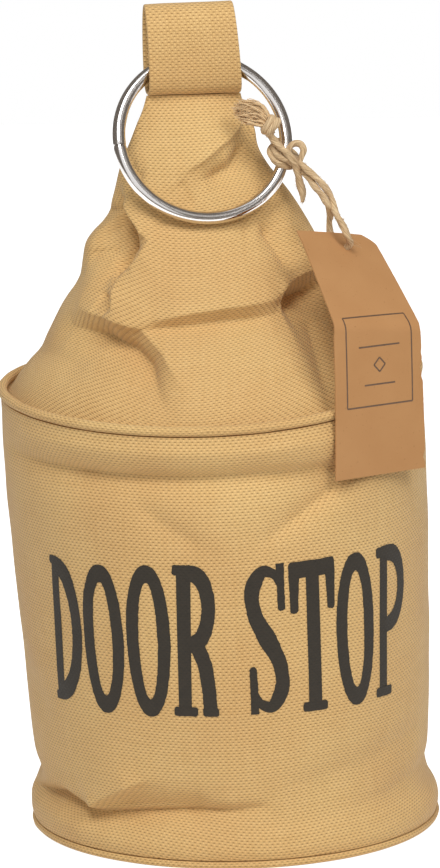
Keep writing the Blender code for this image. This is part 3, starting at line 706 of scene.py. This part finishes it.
# each tear at the right edge is a height, a reach and a depth in mm; pulp and fibre are each a stretch, a detail
# and a roughness of noise
tag = dict(
    width=35.4 * mm, topWidth=34.0 * mm, length=82.0 * mm, thickness=0.55 * mm, columns=72, rows=150,
    fold=43.6 * mm, foldSlope=-0.1, topShift=3.6 * mm, rightWaist=1.5 * mm, bend=5.0 * mm, bow=0.35 * mm,
    leanLeft=39.0, leanRight=48.0, yaw=math.radians(37.0), offAxis=68.4 * mm, sideways=13.0 * mm,
    bottom=118.5 * mm, clip=4.2 * mm, clipPower=1.6, thinning=0.06 * mm, thinReach=40,
    hole=(5.3 * mm, 76.0 * mm), holeRadius=0.6 * mm, holeReach=3.2, holeCut=0.45,
    tears=[(31.5, 1.6, 0.9), (28.6, 0.9, 0.45), (36.0, 0.8, 0.3), (3.6, 1.2, 0.7)],
    worn=0.08 * mm, wornSize=1.6 * mm, wornSeed=21,
    paper=sRGB(174, 124, 76), paleFibre=sRGB(198, 150, 100), darkFibre=sRGB(134, 88, 48),
    pulp=((900, 900), 4.0, 0.65), fibre=((2400, 700), 3.0, 0.6), cloud=(60, 60), cloudDepth=0.6, cloudLow=0.1,
    darkFrom=0.66, darkShare=0.4, paleFrom=0.68, paleShare=0.3,
    roughness=0.78, specular=0.3, bumpDepth=0.05 * mm, bumpStrength=0.35,
)


def tagPlace(across, up, lift=0.0):  # a point of the card's middle, moved out by lift along its face
    def flat(a, u):
        outward = np.array([math.sin(tag["yaw"]), -math.cos(tag["yaw"]), 0])
        sideways = np.array([math.cos(tag["yaw"]), math.sin(tag["yaw"]), 0])
        lean = np.radians(tag["leanLeft"] + (tag["leanRight"] - tag["leanLeft"]) * (a / tag["width"] + 0.5))
        past = np.maximum(0, u - tag["fold"] - tag["foldSlope"] * a)
        turned = np.minimum(past / tag["bend"], lean)
        straight = past - turned * tag["bend"]
        back = tag["bend"] * (1 - np.cos(turned)) + straight * np.sin(turned)
        height = u - past + tag["bend"] * np.sin(turned) + straight * np.cos(turned)
        foot = np.array([bag["lean"] * bag["rimHeight"], 0, tag["bottom"]])
        foot = foot + outward * tag["offAxis"] + sideways * tag["sideways"]
        bow = tag["bow"] * np.sin(math.pi * u / tag["fold"]) * (u < tag["fold"])
        return (foot + sideways * a[..., None] + outward * (bow - back)[..., None]
                + np.array([0, 0, 1.0]) * height[..., None])
    step = 0.2 * mm
    here = flat(across, up)
    normal = unit(np.cross(flat(across + step, up) - here, flat(across, up + step) - here))
    return here + normal * np.asarray(lift)[..., None]


def tagHalfWidth(up, side):  # the card's edge, with small tears where it was bent
    edge = tag["width"] / 2 - tag["rightWaist"] * (side > 0) * np.minimum(up / tag["fold"], 1)
    taper = (up - tag["fold"]) / (tag["length"] - tag["clip"] - tag["fold"])
    narrow = tag["topWidth"] / 2 + side * tag["topShift"]
    edge = np.where(up > tag["fold"], edge + (narrow - edge) * np.clip(taper, 0, 1), edge)
    if side > 0:
        corner = np.clip((up - tag["length"] + tag["clip"]) / tag["clip"], 0, 1)
        edge = edge - tag["clip"] * corner ** tag["clipPower"]
        for place, reach, depth in tag["tears"]:
            edge = edge - depth * mm * np.exp(-((up - place * mm) / (reach * mm)) ** 2)
    return edge - tag["worn"] * np.abs(softNoise(up, 0 * up, tag["wornSize"], tag["wornSeed"] + side))


def makeTag():
    rows, columns = tag["rows"], tag["columns"]
    up = np.linspace(0, tag["length"], rows)[:, None]
    left, right = -tagHalfWidth(up, -1), tagHalfWidth(up, 1)
    share = np.linspace(0, 1, columns)[None, :]
    across = left + (right - left) * share
    cx, cy = tag["hole"]
    away = np.hypot(across - cx, up - cy)  # the grid is pushed open into a round hole
    reach = tag["holeReach"] * tag["holeRadius"]
    pushed = tag["holeRadius"] + away * (reach - tag["holeRadius"]) / reach
    factor = np.where(away < reach, pushed / np.maximum(away, 1e-9), 1.0)
    across, placeUp = cx + (across - cx) * factor, cy + (up - cy) * factor
    inHole = (away < tag["holeCut"] * (tag["width"] / columns + tag["length"] / rows)).reshape(-1)
    thin = np.clip(1 - np.minimum(share, 1 - share) * tag["thinReach"], 0, 1)
    half = tag["thickness"] / 2 - tag["thinning"] * thin + 0 * up
    points = np.concatenate([tagPlace(across, placeUp, face).reshape(-1, 3) for face in (half, -half)])
    flat = np.stack([across, placeUp], -1).reshape(-1, 2)
    size, faces, uvs, edges = rows * columns, [], [], {}
    for quad in gridQuads(rows, columns).tolist():
        if not any(inHole[k] for k in quad):
            faces += [quad, [k + size for k in reversed(quad)]]
            uvs += [flat[quad], flat[quad[::-1]]]
            edges.update(dict.fromkeys(zip(quad, quad[1:] + quad[:1])))
    for a, b in edges:
        if (b, a) not in edges:  # an open edge: the card's thickness closes it
            faces.append((b, a, a + size, b + size))
            uvs.append(flat[[b, a, a, b]])
    piece = newMesh("kraft_tag", points, faces, np.concatenate(uvs), shadeBelow=50)
    loose = bmesh.new()
    loose.from_mesh(piece.data)
    bmesh.ops.delete(loose, geom=[v for v in loose.verts if not v.link_faces], context="VERTS")
    loose.to_mesh(piece.data)
    loose.free()
    w = Wires("kraft card")
    uv = w.clothPlace()
    pulp, fibre = w.noise(uv, *tag["pulp"]), w.noise(uv, *tag["fibre"])
    cloud = w.math("MULTIPLY_ADD", w.noise(uv, tag["cloud"]), tag["cloudDepth"], tag["cloudLow"])
    base = w.mix(cloud, tag["paper"], tag["paleFibre"])
    for grain, kind in ((pulp, "dark"), (fibre, "pale")):
        fleck = w.math("GREATER_THAN", grain, tag[kind + "From"])
        base = w.mix(w.math("MULTIPLY", fleck, tag[kind + "Share"]), base, tag[kind + "Fibre"])
    w.look(colour=base, roughness=tag["roughness"], specular=tag["specular"])
    w.bump(w.math("ADD", pulp, fibre), tag["bumpDepth"], tag["bumpStrength"])
    return dress(piece, w.material, "tag", "ring", "hang_tag")


# in mm on the card: the frame's sides, a rule under its top and one over its foot, each with its half length,
# and the diamond's half size and how far it lies under the middle
tagPrint = dict(
    left=-13.2, right=12.4, low=21.5, high=49.2, underTop=(9.5, 8.0), overFoot=(6.5, 6.0), diamond=2.2, drop=1.4,
    line=0.5, step=0.6, lift=0.03 * mm, ink=sRGB(84, 62, 44), palerBy=1.9, palerStep=0.01, roughness=0.6,
    worn=((900, 900, 900), 3.0, 0.6),
)


def makeTagPrint():
    points, faces = [], []

    def ribbon(start, end):  # a printed line on the card, from (across, up) to (across, up) in mm
        start, end = np.array(start) * mm, np.array(end) * mm
        ahead = unit(end - start)
        side = np.array([-ahead[1], ahead[0]]) * tagPrint["line"] * mm / 2
        count = max(3, int(np.linalg.norm(end - start) / (tagPrint["step"] * mm)))
        for k in range(count):
            at = start + (end - start) * k / (count - 1)
            for edge in (at - side, at + side):
                points.append(tuple(tagPlace(edge[0], edge[1], tag["thickness"] / 2 + tagPrint["lift"])))
            if k:
                n = len(points)
                faces.append((n - 4, n - 3, n - 1, n - 2))

    def ribbonRound(corners):
        for a, b in zip(corners, corners[1:] + corners[:1]):
            ribbon(a, b)

    left, right, low, high = (tagPrint[k] for k in ("left", "right", "low", "high"))
    ribbonRound([(left, low), (right, low), (right, high), (left, high)])
    middle, (under, upperHalf), (over, lowerHalf) = (left + right) / 2, tagPrint["underTop"], tagPrint["overFoot"]
    for up, half in ((high - under, upperHalf), (low + over, lowerHalf)):
        ribbon((middle - half, up), (middle + half, up))
    centre, size = (low + high) / 2 - tagPrint["drop"], tagPrint["diamond"]
    ribbonRound([(middle + x, centre + y) for x, y in ((0, size), (size, 0), (0, -size), (-size, 0))])
    w = Wires("tag ink")
    ink, where = tagPrint["ink"], w.add("ShaderNodeTexCoord").outputs["Object"]
    pale = tuple(min(1.0, v * tagPrint["palerBy"] + tagPrint["palerStep"]) for v in ink[:3]) + (1,)
    w.look(colour=w.mix(w.noise(where, *tagPrint["worn"]), ink, pale), roughness=tagPrint["roughness"])
    dress(newMesh("tag_print", points, faces), w.material, "tag", "ring")


card = makeTag()
makeTagPrint()
print("tag made")


# the words on the front: eight letters of ink, drawn here from strokes, in mm within each letter's own box

# inkGapAndShade darkens the ink where the weave lies low: in its gaps, and in the painted shade under each weft
# float
letters = dict(
    places=[("D", -53.4, -41.4, 49.0, 97.0, 3.0), ("O", -40.6, -27.6, 47.9, 97.2, 2.0),
            ("O", -26.6, -14.2, 48.4, 98.5, 1.7), ("R", -13.5, -1.4, 49.3, 99.0, 2.0),
            ("S", 6.2, 16.7, 49.3, 98.5, 0.6), ("T", 17.7, 31.0, 49.0, 98.0, 0.4),
            ("O", 31.2, 44.2, 48.4, 97.5, 0.3), ("P", 45.2, 58.0, 48.8, 96.8, 1.0)],
    lift=0.1 * mm, layerLift=0.012 * mm, rough=0.09, roughShare=0.6, step=0.7, across=6, longStroke=90,
    closedWithin=0.6, normalStep=0.2,
    ink=sRGB(46, 40, 31), inkLight=sRGB(64, 56, 44), inkGapAndShade=sRGB(26, 22, 17), worn=((420, 420), 3.0, 0.6),
    wornShare=0.5, roughness=0.62, specular=0.3, bumpDepth=0.14 * mm, bumpStrength=0.6,
)


def slab(x0, x1, y0, y1, corner=0.8):  # a bar with rounded corners, as two edges
    x = np.unique(np.concatenate([np.linspace(x0, x0 + corner, 6), np.linspace(x0 + corner, x1 - corner, 8),
                                  np.linspace(x1 - corner, x1, 6)]))
    near = np.clip(corner - np.minimum(x - x0, x1 - x), 0, corner)
    cut = corner - np.sqrt(np.maximum(corner**2 - near**2, 0))
    return np.stack([x, y1 - cut], 1), np.stack([x, y0 + cut], 1)


def taper(x0, y0, wide0, x1, y1, wide1, corner=0.9):  # an upright stroke from a wide top to a round-ended foot
    t = np.concatenate([np.linspace(0, 0.9, 14, endpoint=False), np.linspace(0.9, 1, 9)])
    wide = wide0 + (wide1 - wide0) * t**0.6
    near = np.clip((t - 0.93) / 0.07, 0, 1)
    wide = wide * np.sqrt(1 - near**2 * corner)
    x, y = x0 + (x1 - x0) * t, y0 + (y1 - y0) * t
    return np.stack([x - wide / 2, y], 1), np.stack([x + wide / 2, y], 1)


def bowl(x0, x1, y0, y1, side, cap, closed=False, full=0.72):  # a round stroke, open at its left or closed
    t = np.linspace(0, fullTurn if closed else math.pi, 97 if closed else 49)
    cx, cy = ((x0 + x1) / 2 if closed else x0), (y0 + y1) / 2
    a, b = (x1 - cx), (y1 - y0) / 2

    def curve(a, b, power):
        return np.stack([cx + a * np.sign(np.sin(t)) * np.abs(np.sin(t)) ** power, cy + b * np.cos(t)], 1)

    return curve(a, b, full), curve(a - side, b - cap, full + 0.12)


def sweepStroke(points, widths, count=60):  # a curved stroke whose width changes along it
    flat = smoothRoute([(x, y, 0) for x, y in points], count)[:, :2]
    wide = np.interp(np.linspace(0, 1, count), np.linspace(0, 1, len(widths)), widths)[:, None]
    ahead = unit(np.gradient(flat, axis=0))
    side = np.stack([-ahead[:, 1], ahead[:, 0]], 1)
    return flat + side * wide / 2, flat - side * wide / 2


def letterStrokes(letter, w, h):
    if letter == "O":
        return [bowl(0, w, 0, h, 4.1, 5.8, closed=True, full=0.86)]
    if letter == "D":
        return [slab(1.0, 4.6, 0.3, h - 0.3), bowl(1.6, w, 0, h, 4.3, 5.6), slab(0, 3.2, h - 2.8, h),
                slab(0, 3.2, 0, 2.8)]
    if letter == "R":
        leg = [(7.2, 0.47 * h), (9.4, 0.36 * h), (10.8, 0.2 * h), (11.4, 1.2)]
        return [slab(1.4, 5.6, 1, h - 1), slab(0, 6.0, h - 3.4, h), bowl(4.4, w - 1.0, 0.42 * h, h, 4.1, 5.2),
                slab(4.0, 6.6, 0.43 * h, 0.53 * h), sweepStroke(leg, [4.6, 4.4, 4.2, 4.2], 30),
                slab(0, 7.4, 0, 3.0), slab(9.0, w, 0, 3.0)]
    if letter == "P":
        return [slab(1.6, 5.2, 1, h - 1), slab(0, 5.8, h - 3.4, h), bowl(4.2, w, 0.42 * h, h, 3.9, 5.0),
                slab(3.8, 6.0, 0.425 * h, 0.52 * h), slab(0, 7.6, 0, 3.0)]
    if letter == "T":
        middle = w / 2
        return [slab(0, w, h - 5.4, h, 1.2), taper(1.7, h - 4.0, 3.6, 1.5, 0.66 * h, 2.5),
                taper(w - 1.7, h - 4.0, 3.6, w - 1.5, 0.66 * h, 2.5),
                slab(middle - 2.2, middle + 2.2, 1, h - 4), slab(middle - 4.1, middle + 4.1, 0, 3.0)]
    spine = [(w - 1.5, 0.84 * h), (w - 3.4, 0.925 * h), (0.47 * w, 0.95 * h), (2.2, 0.85 * h),
             (2.3, 0.68 * h), (0.5 * w, 0.5 * h), (w - 2.3, 0.32 * h), (w - 2.2, 0.15 * h),
             (0.53 * w, 0.05 * h), (3.4, 0.075 * h), (1.5, 0.16 * h)]
    return [sweepStroke(spine, [1.6, 3.4, 4.8, 4.3, 4.7, 5.8, 4.7, 4.3, 4.8, 3.4, 1.6], 90),
            taper(w - 1.5, h - 0.3, 2.6, w - 1.35, 0.68 * h, 2.3), taper(1.5, 0.3, 2.6, 1.35, 0.32 * h, 2.3)]


def makePrint():
    points, faces, uvs = [], [], []
    rng = np.random.RandomState(14)
    columns = letters["across"]
    share = np.linspace(0, 1, columns)[None, :, None]
    for letter, left, right, low, high, slant in letters["places"]:
        wide, tall = math.radians(right - left) * bag["rimRadius"] / mm, high - low
        for layer, (edgeA, edgeB) in enumerate(letterStrokes(letter, wide, tall)):
            edgeA = edgeA + rng.normal(0, letters["rough"], edgeA.shape) * letters["roughShare"]
            edgeB = edgeB + rng.normal(0, letters["rough"], edgeB.shape) * letters["roughShare"]
            closed = np.allclose(edgeA[0], edgeA[-1], atol=letters["closedWithin"])
            if closed and len(edgeA) > letters["longStroke"]:  # such as an O
                edgeA[-1], edgeB[-1] = edgeA[0], edgeB[0]
            length = lengthAlong((edgeA + edgeB) / 2)
            count = max(len(edgeA), int(length[-1] / letters["step"]))
            at = np.unique(np.concatenate([np.linspace(0, length[-1], count), length]))
            a, b = (np.stack([np.interp(at, length, edge[:, k]) for k in (0, 1)], 1) for edge in (edgeA, edgeB))
            flat = a[:, None, :] + (b - a)[:, None, :] * share
            bearing = left + (right - left) * flat[..., 0] / wide + slant * (flat[..., 1] / tall - 0.5)
            bearing, level = np.radians(bearing), (low + flat[..., 1]) * mm
            place = sidePlace(bearing, level)
            step = letters["normalStep"]  # in degrees to the side, and in mm up
            beside, above = sidePlace(bearing + math.radians(step), level), sidePlace(bearing, level + step * mm)
            normal = unit(np.cross(beside - place, above - place))
            place = place + normal * (letters["lift"] + letters["layerLift"] * layer)
            uv = np.stack([(bearing + math.pi) * bag["rimRadius"], level], -1).reshape(-1, 2)
            quads = gridQuads(len(flat), columns)
            faces += (len(points) + quads).tolist()
            uvs.append(uv[quads.ravel()])
            points += place.reshape(-1, 3).tolist()
    piece = newMesh("front_letters", points, faces, np.concatenate(uvs))
    w = Wires("print ink")
    uv, height = weaveHeight(w, sidePanel["weaveAcross"], sidePanel["weaveUp"])
    worn = w.math("MULTIPLY", w.noise(uv, *letters["worn"]), letters["wornShare"])
    # the ink is darker where the weave lies low, which includes painted shade under each weft float
    w.look(colour=w.mix(worn, w.mix(height, letters["inkGapAndShade"], letters["ink"]), letters["inkLight"]),
           roughness=letters["roughness"], specular=letters["specular"])
    w.bump(height, letters["bumpDepth"], letters["bumpStrength"])
    dress(piece, w.material, "canvas", "bag")


makePrint()
print("front letters made")


# twine: jute strands, hitched to the ring, knotted and frayed at the loose end

twine = dict(
    radius=1.15 * mm, sides=18, groove=0.26, turns=62, pairRadius=1.15 * mm, pairTurns=0.45,
    phase=math.radians(200), declared=0.0043, pairSteps=60, legSteps=110,
    colour=sRGB(214, 177, 128), pale=sRGB(248, 221, 176), dark=sRGB(132, 93, 52),
    fibre=((2200, 150), 4.0, 0.7), broad=(700, 90), broadShare=0.6, contrast=3.4, middle=0.55,
    roughness=0.75, sheen=0.15, bumpDepth=0.4 * mm, bumpStrength=1.0,
)
hole = [tuple(tagPlace(np.float64(tag["hole"][0]), np.float64(tag["hole"][1]), lift * mm) / mm)
        for lift in (1.7, 0, -1.7)]
# the ways of the strands, in mm
pairRoute = [(23.0, -10.3, 210.6), (25.1, -11.8, 208.2), (27.2, -14.6, 206.1), (29.2, -18.0, 203.9),
             (31.0, -21.5, 201.7), (32.2, -25.0, 198.9)]
frontLeg = [(34.0, -27.2, 196.0), (35.7, -29.0, 193.0), (37.2, -29.4, 189.8), hole[0], hole[1]]
rearLeg = [(32.1, -23.8, 196.2), (31.9, -21.6, 193.2), (32.2, -20.8, 189.8), (33.6, -21.6, 186.6),
           hole[2], hole[1]]
crossing = [(13.8, -12.0, 221.6), (14.6, -12.2, 219.2), (17.2, -12.8, 216.2), (19.8, -12.9, 213.6),
            (21.8, -12.0, 210.8)]
tailRoute = [(21.8, -12.0, 210.8), (22.6, -10.9, 208.0), (23.2, -10.1, 204.6), (24.1, -9.8, 201.0),
             (24.0, -9.7, 198.4)]
wraps = [(19.4, -2.6, 216.4), (16.9, -4.0, 217.0), (14.9, -7.5, 215.7), (14.3, -10.3, 213.9),
         (15.4, -11.3, 211.9), (17.8, -11.0, 210.4), (20.2, -9.0, 209.7), (21.3, -5.9, 210.2),
         (20.0, -3.0, 211.6), (17.4, -3.4, 213.0), (15.6, -6.6, 213.0), (16.4, -10.2, 213.6),
         (18.8, -11.0, 212.4), (21.0, -10.6, 210.8), (22.6, -10.4, 209.0)]
smallLoop = [(19.4, -10.4, 213.4), (20.1, -9.8, 215.5), (21.8, -9.6, 216.8), (23.5, -9.7, 216.6),
             (24.5, -9.9, 215.0), (23.9, -10.1, 212.8), (23.1, -10.3, 210.8), (23.4, -10.6, 208.8)]
# the knot, in mm: each way across it as a middle, a half width and a climb from one end to the other
knotTurns = dict(centre=(14.4, -12.6, 222.6), half=(1.7, 1.5, 1.68), climb=(-2.4, 0, 1.7), turns=1.75, start=0.3)
# the frayed end, in mm: lines across it, at the knot, at its shoulder and at its tips, each from low to high
tuft = dict(
    lines=[((13.4, -12.1, 222.4), (14.4, -12.1, 224.6)), ((9.5, -11.9, 222.9), (10.9, -12.1, 229.6)),
           ((3.9, -11.6, 224.6), (4.1, -11.6, 231.0))],
    count=420, seed=7, tips=(1.3, 0.8, 1), tipSpread=0.6, shorter=(-0.12, 0.35), rounder=0.4,
    spread=(0.25, 0.7, 0.75), spreadShare=[0, 0.1, 0.3, 0.6, 0.8, 1, 1, 1, 1], waves=(1.2, 3.6), waveSize=0.42,
    thick=(0.14, 0.36), thinEnd=0.45, sides=5,
)
fuzz = dict(count=420, reach=3.0 * mm, thin=0.045 * mm, seed=5, curl=0.35, lean=0.35, root=0.8, bow=0.35,
            bowPower=1.5, points=7, thinEnd=0.4, sides=4)


def juteMaterial(name, dark, pale):
    w = Wires(name)
    uv = w.clothPlace()
    fibre, broad = w.noise(uv, *twine["fibre"]), w.noise(uv, twine["broad"])
    sharp = w.math("MULTIPLY_ADD", w.math("SUBTRACT", fibre, 0.5), twine["contrast"], twine["middle"])
    colour = w.mix(w.math("MINIMUM", w.math("MAXIMUM", sharp, 0.0), 1.0), dark, pale)
    w.look(colour=w.mix(w.math("MULTIPLY", broad, twine["broadShare"]), colour, twine["colour"]),
           roughness=twine["roughness"], sheen=twine["sheen"])
    w.bump(fibre, twine["bumpDepth"], twine["bumpStrength"])
    return w.material


jute = juteMaterial("jute", twine["dark"], twine["pale"])


def twisted(name, path, radii, phase):
    return sweep(name, path, radii, sides=twine["sides"], plies=2, groove=twine["groove"],
                 turnsPerMetre=twine["turns"], phase=phase)


def strand(name, route, count, thick=(1.0,), phase=0.0):  # thick is its thickness along the way
    path = smoothRoute(route, count) * mm
    radii = np.interp(np.linspace(0, 1, count), np.linspace(0, 1, len(thick)), thick) * twine["radius"]
    return twisted(name, path, radii, phase), path


def makeFuzz(starts, aheads):  # loose fibres that stand off the strands
    rng = np.random.RandomState(fuzz["seed"])
    t = np.linspace(0, 1, fuzz["points"])[:, None]
    tubes = []
    for _ in range(fuzz["count"]):
        i = rng.randint(len(starts))
        ahead = aheads[i] * rng.choice([-1, 1]) + rng.normal(0, fuzz["lean"], 3)
        away = unit(np.cross(ahead, rng.normal(0, 1, 3)))
        length = fuzz["reach"] * rng.uniform(0.5, 1.0)
        start = starts[i] + away * twine["radius"] * fuzz["root"]
        bend = rng.normal(0, fuzz["curl"], 3)
        path = (start + unit(ahead) * length * t + away * length * fuzz["bow"] * t ** fuzz["bowPower"]
                + bend * length * t**2)
        thick = fuzz["thin"] * np.linspace(1, fuzz["thinEnd"], fuzz["points"])
        tubes.append(sweep("fuzz_fibre", path, thick, sides=fuzz["sides"]))
    return joinPieces("twine_fuzz", tubes)


def makeTuft():
    rng = np.random.RandomState(tuft["seed"])
    stations = len(tuft["spreadShare"])
    t, fibres = np.linspace(0, 1, stations), []
    for _ in range(tuft["count"]):
        share = rng.uniform(0, 1)
        stops = [np.array(low) + (np.array(high) - np.array(low)) * share for low, high in tuft["lines"]]
        stops[2] = stops[2] + rng.normal(0, tuft["tipSpread"], 3) * tuft["tips"]
        back = rng.uniform(*tuft["shorter"]) + tuft["rounder"] * (2 * share - 1) ** 2
        stops[2] = stops[2] + (stops[1] - stops[2]) * back
        spread = [rng.normal(0, size) for size in tuft["spread"]][1]  # only the one towards the camera counts
        body = smoothRoute(stops, stations)
        body[:, 1] += spread * np.sqrt(tuft["spreadShare"])
        wave = np.sin(t * math.pi * rng.uniform(*tuft["waves"]))[:, None] * rng.normal(0, tuft["waveSize"], 3)
        thick = rng.uniform(*tuft["thick"]) * mm * np.linspace(1, tuft["thinEnd"], stations)
        fibres.append(sweep("tuft_fibre", (body + wave) * mm, thick, sides=tuft["sides"]))
    return joinPieces("frayed_tuft", fibres)


def makeTwine():
    centre = smoothRoute(pairRoute, twine["pairSteps"])
    ahead = unit(np.gradient(centre, axis=0))
    side = unit(np.cross(ahead, (0, 0, 1)))
    over = np.cross(side, ahead)
    turn = np.linspace(-fullTurn * twine["pairTurns"], 0, twine["pairSteps"])[:, None] + twine["phase"]
    offset = (side * np.cos(turn) + over * np.sin(turn)) * twine["pairRadius"] / mm
    down, up = centre + offset, centre - offset
    first, path = strand("tag_twine_front", np.concatenate([down[::4], down[-1:], frontLeg]), twine["legSteps"])
    rearPath = smoothRoute(np.concatenate([up[::4], up[-1:], rearLeg]), twine["legSteps"]) * mm
    reached = int(np.argmin(np.linalg.norm(rearPath - up[-1] * mm, axis=1)))
    second = twisted("tag_twine_back", rearPath[:reached], twine["radius"], 1.3)
    cord = joinPieces("tag_twine_strands", [first, second])
    dress(cord, jute, "twine", "ring", "tag_twine")

    rear = twisted("tag_twine_rear_leg", rearPath[reached - 2:], twine["radius"], 0.7)
    dress(rear, jute, "twine", "ring")

    turns, _ = strand("hitch_turns", wraps, 190, (1.1,))
    raised = np.array(wraps[2:12]) + (0.8, -0.7, 1.9)
    over, _ = strand("hitch_over", raised, 130, (0.7, 1.15, 1.15, 0.7), 1.1)
    loop, _ = strand("hitch_loop", smallLoop, 80, phase=2.0)
    hitch = joinPieces("ring_hitch", [turns, over, loop])
    dress(hitch, jute, "twine", "ring", "twine_hitch")

    leg, legPath = strand("end_leg", crossing, 60, (0.95, 1.0, 1.1, 1.05))
    k = np.linspace(0, 1, 40)[:, None]
    angle = fullTurn * (knotTurns["turns"] * k + knotTurns["start"])
    around = np.concatenate([np.cos(angle), np.sin(angle), np.cos(angle)], 1) * knotTurns["half"]
    knot = np.array(knotTurns["centre"]) + around + (k - 0.5) * knotTurns["climb"]
    wrap, _ = strand("end_wrap", knot, 90, (1.0, 1.25, 1.1), 1.0)
    end = joinPieces("knotted_end", [leg, wrap])
    dress(end, jute, "twine", "ring", "twine_end")

    brush = makeTuft()
    dress(brush, juteMaterial("frayed jute", twine["colour"], twine["pale"]), "twine", "ring")

    tail, tailPath = strand("loose_tail", tailRoute, 50, (1.0, 1.15, 1.2, 1.1, 0.6), 0.4)
    dress(tail, jute, "twine", "ring", "twine_tail")

    paths = (path, legPath, tailPath)
    hairs = makeFuzz(np.concatenate(paths), np.concatenate([unit(np.gradient(p, axis=0)) for p in paths]))
    dress(hairs, jute, "twine", "ring")


makeTwine()
print("twine made")


# floor, light and background

light = dict(
    key=dict(place=(-0.24, -0.9, 1.36), size=0.6, power=10.8),
    fill=dict(place=(0.62, -1.0, 1.06), size=0.6, power=8.0),
    aim=(0, 0, 0.13), world=0.32, white=(1, 1, 1, 1),
    floorSize=6.0, floorLevel=-0.2 * mm, floorColour=(0.92, 0.92, 0.92, 1), floorRoughness=0.9, floorGlow=0.85,
)
# dark studio cards: from and to round the object, right of the camera, and from and to above the level, in
# degrees; and a dark mat on the floor in front, from its left far corner to its right near one, in metres
darkCards = dict(
    places=[((7, 100), (-4, 84)), ((98, 176), (-8, 84)), ((-176, -46), (-8, 84))], radius=1.35, steps=12,
    mat=((-1.2, -2.6), (1.2, -0.42)), matLevel=1 * mm, colour=(0.25, 0.22, 0.19, 1),
)


def makeLight():
    for name in ("key", "fill"):
        data = bpy.data.lights.new(name + " light", "AREA")
        data.size, data.energy = light[name]["size"], light[name]["power"]
        lamp = placed(name + " light", data)
        lamp.location = light[name]["place"]
        lamp.rotation_mode = "QUATERNION"
        lamp.rotation_quaternion = (Vector(light["aim"]) - lamp.location).to_track_quat("-Z", "Y")


def makeWorld():
    w = Wires("studio", bpy.data.worlds.new("studio"))
    bpy.context.scene.world = w.material
    lit, seen = w.tree.nodes["Background"], w.add("ShaderNodeBackground", light["white"], 1.0)
    w.plug(lit.inputs["Color"], light["white"])
    w.plug(lit.inputs["Strength"], light["world"])
    w.choose(w.directRay(), lit.outputs[0], seen.outputs[0], "World Output")


def makeFloor():
    bpy.ops.mesh.primitive_plane_add(size=light["floorSize"], location=(0, 0, light["floorLevel"]))
    floor = bpy.context.object
    floor.name = floor.data.name = "floor"
    w = Wires("white floor")
    w.look(colour=light["floorColour"], roughness=light["floorRoughness"])
    glow = w.add("ShaderNodeEmission")
    w.plug(glow.inputs["Strength"], light["floorGlow"])
    both = w.add("ShaderNodeAddShader", w.shader.outputs[0], glow.outputs[0])
    w.choose(w.directRay(), w.shader.outputs[0], both.outputs[0], "Material Output")
    floor.data.materials.append(w.material)


def makeDarkCards():  # seen only in the ring's reflections
    w = Wires("dark card")
    w.look(colour=darkCards["colour"], roughness=1.0)
    steps, stages = darkCards["steps"], []
    for number, (around, above) in enumerate(darkCards["places"]):
        turn = np.radians(np.linspace(*around, steps + 1))[:, None]
        rise = np.radians(np.linspace(*above, steps + 1))[None, :]
        away = np.stack([np.sin(turn) * np.cos(rise), -np.cos(turn) * np.cos(rise), np.sin(rise) + 0 * turn], -1)
        points = (away * darkCards["radius"] + (0, 0, bag["seamHeight"])).reshape(-1, 3)
        stages.append(newMesh(f"dark_card_{number}", points, gridQuads(steps + 1, steps + 1).tolist()))
    (left, far), (right, near) = darkCards["mat"]  # it gives the dark line along the wire's middle
    corners = [(x, y, darkCards["matLevel"]) for x, y in ((left, far), (right, far), (right, near), (left, near))]
    stages.append(newMesh("dark_mat", corners, [(0, 1, 2, 3)]))
    for piece in stages:
        piece.data.materials.append(w.material)
        piece.visible_camera = piece.visible_diffuse = piece.visible_shadow = piece.visible_transmission = False


makeLight()
makeWorld()
makeFloor()
makeDarkCards()
bpy.context.scene.view_settings.view_transform = "Standard"
print("light and floor set")
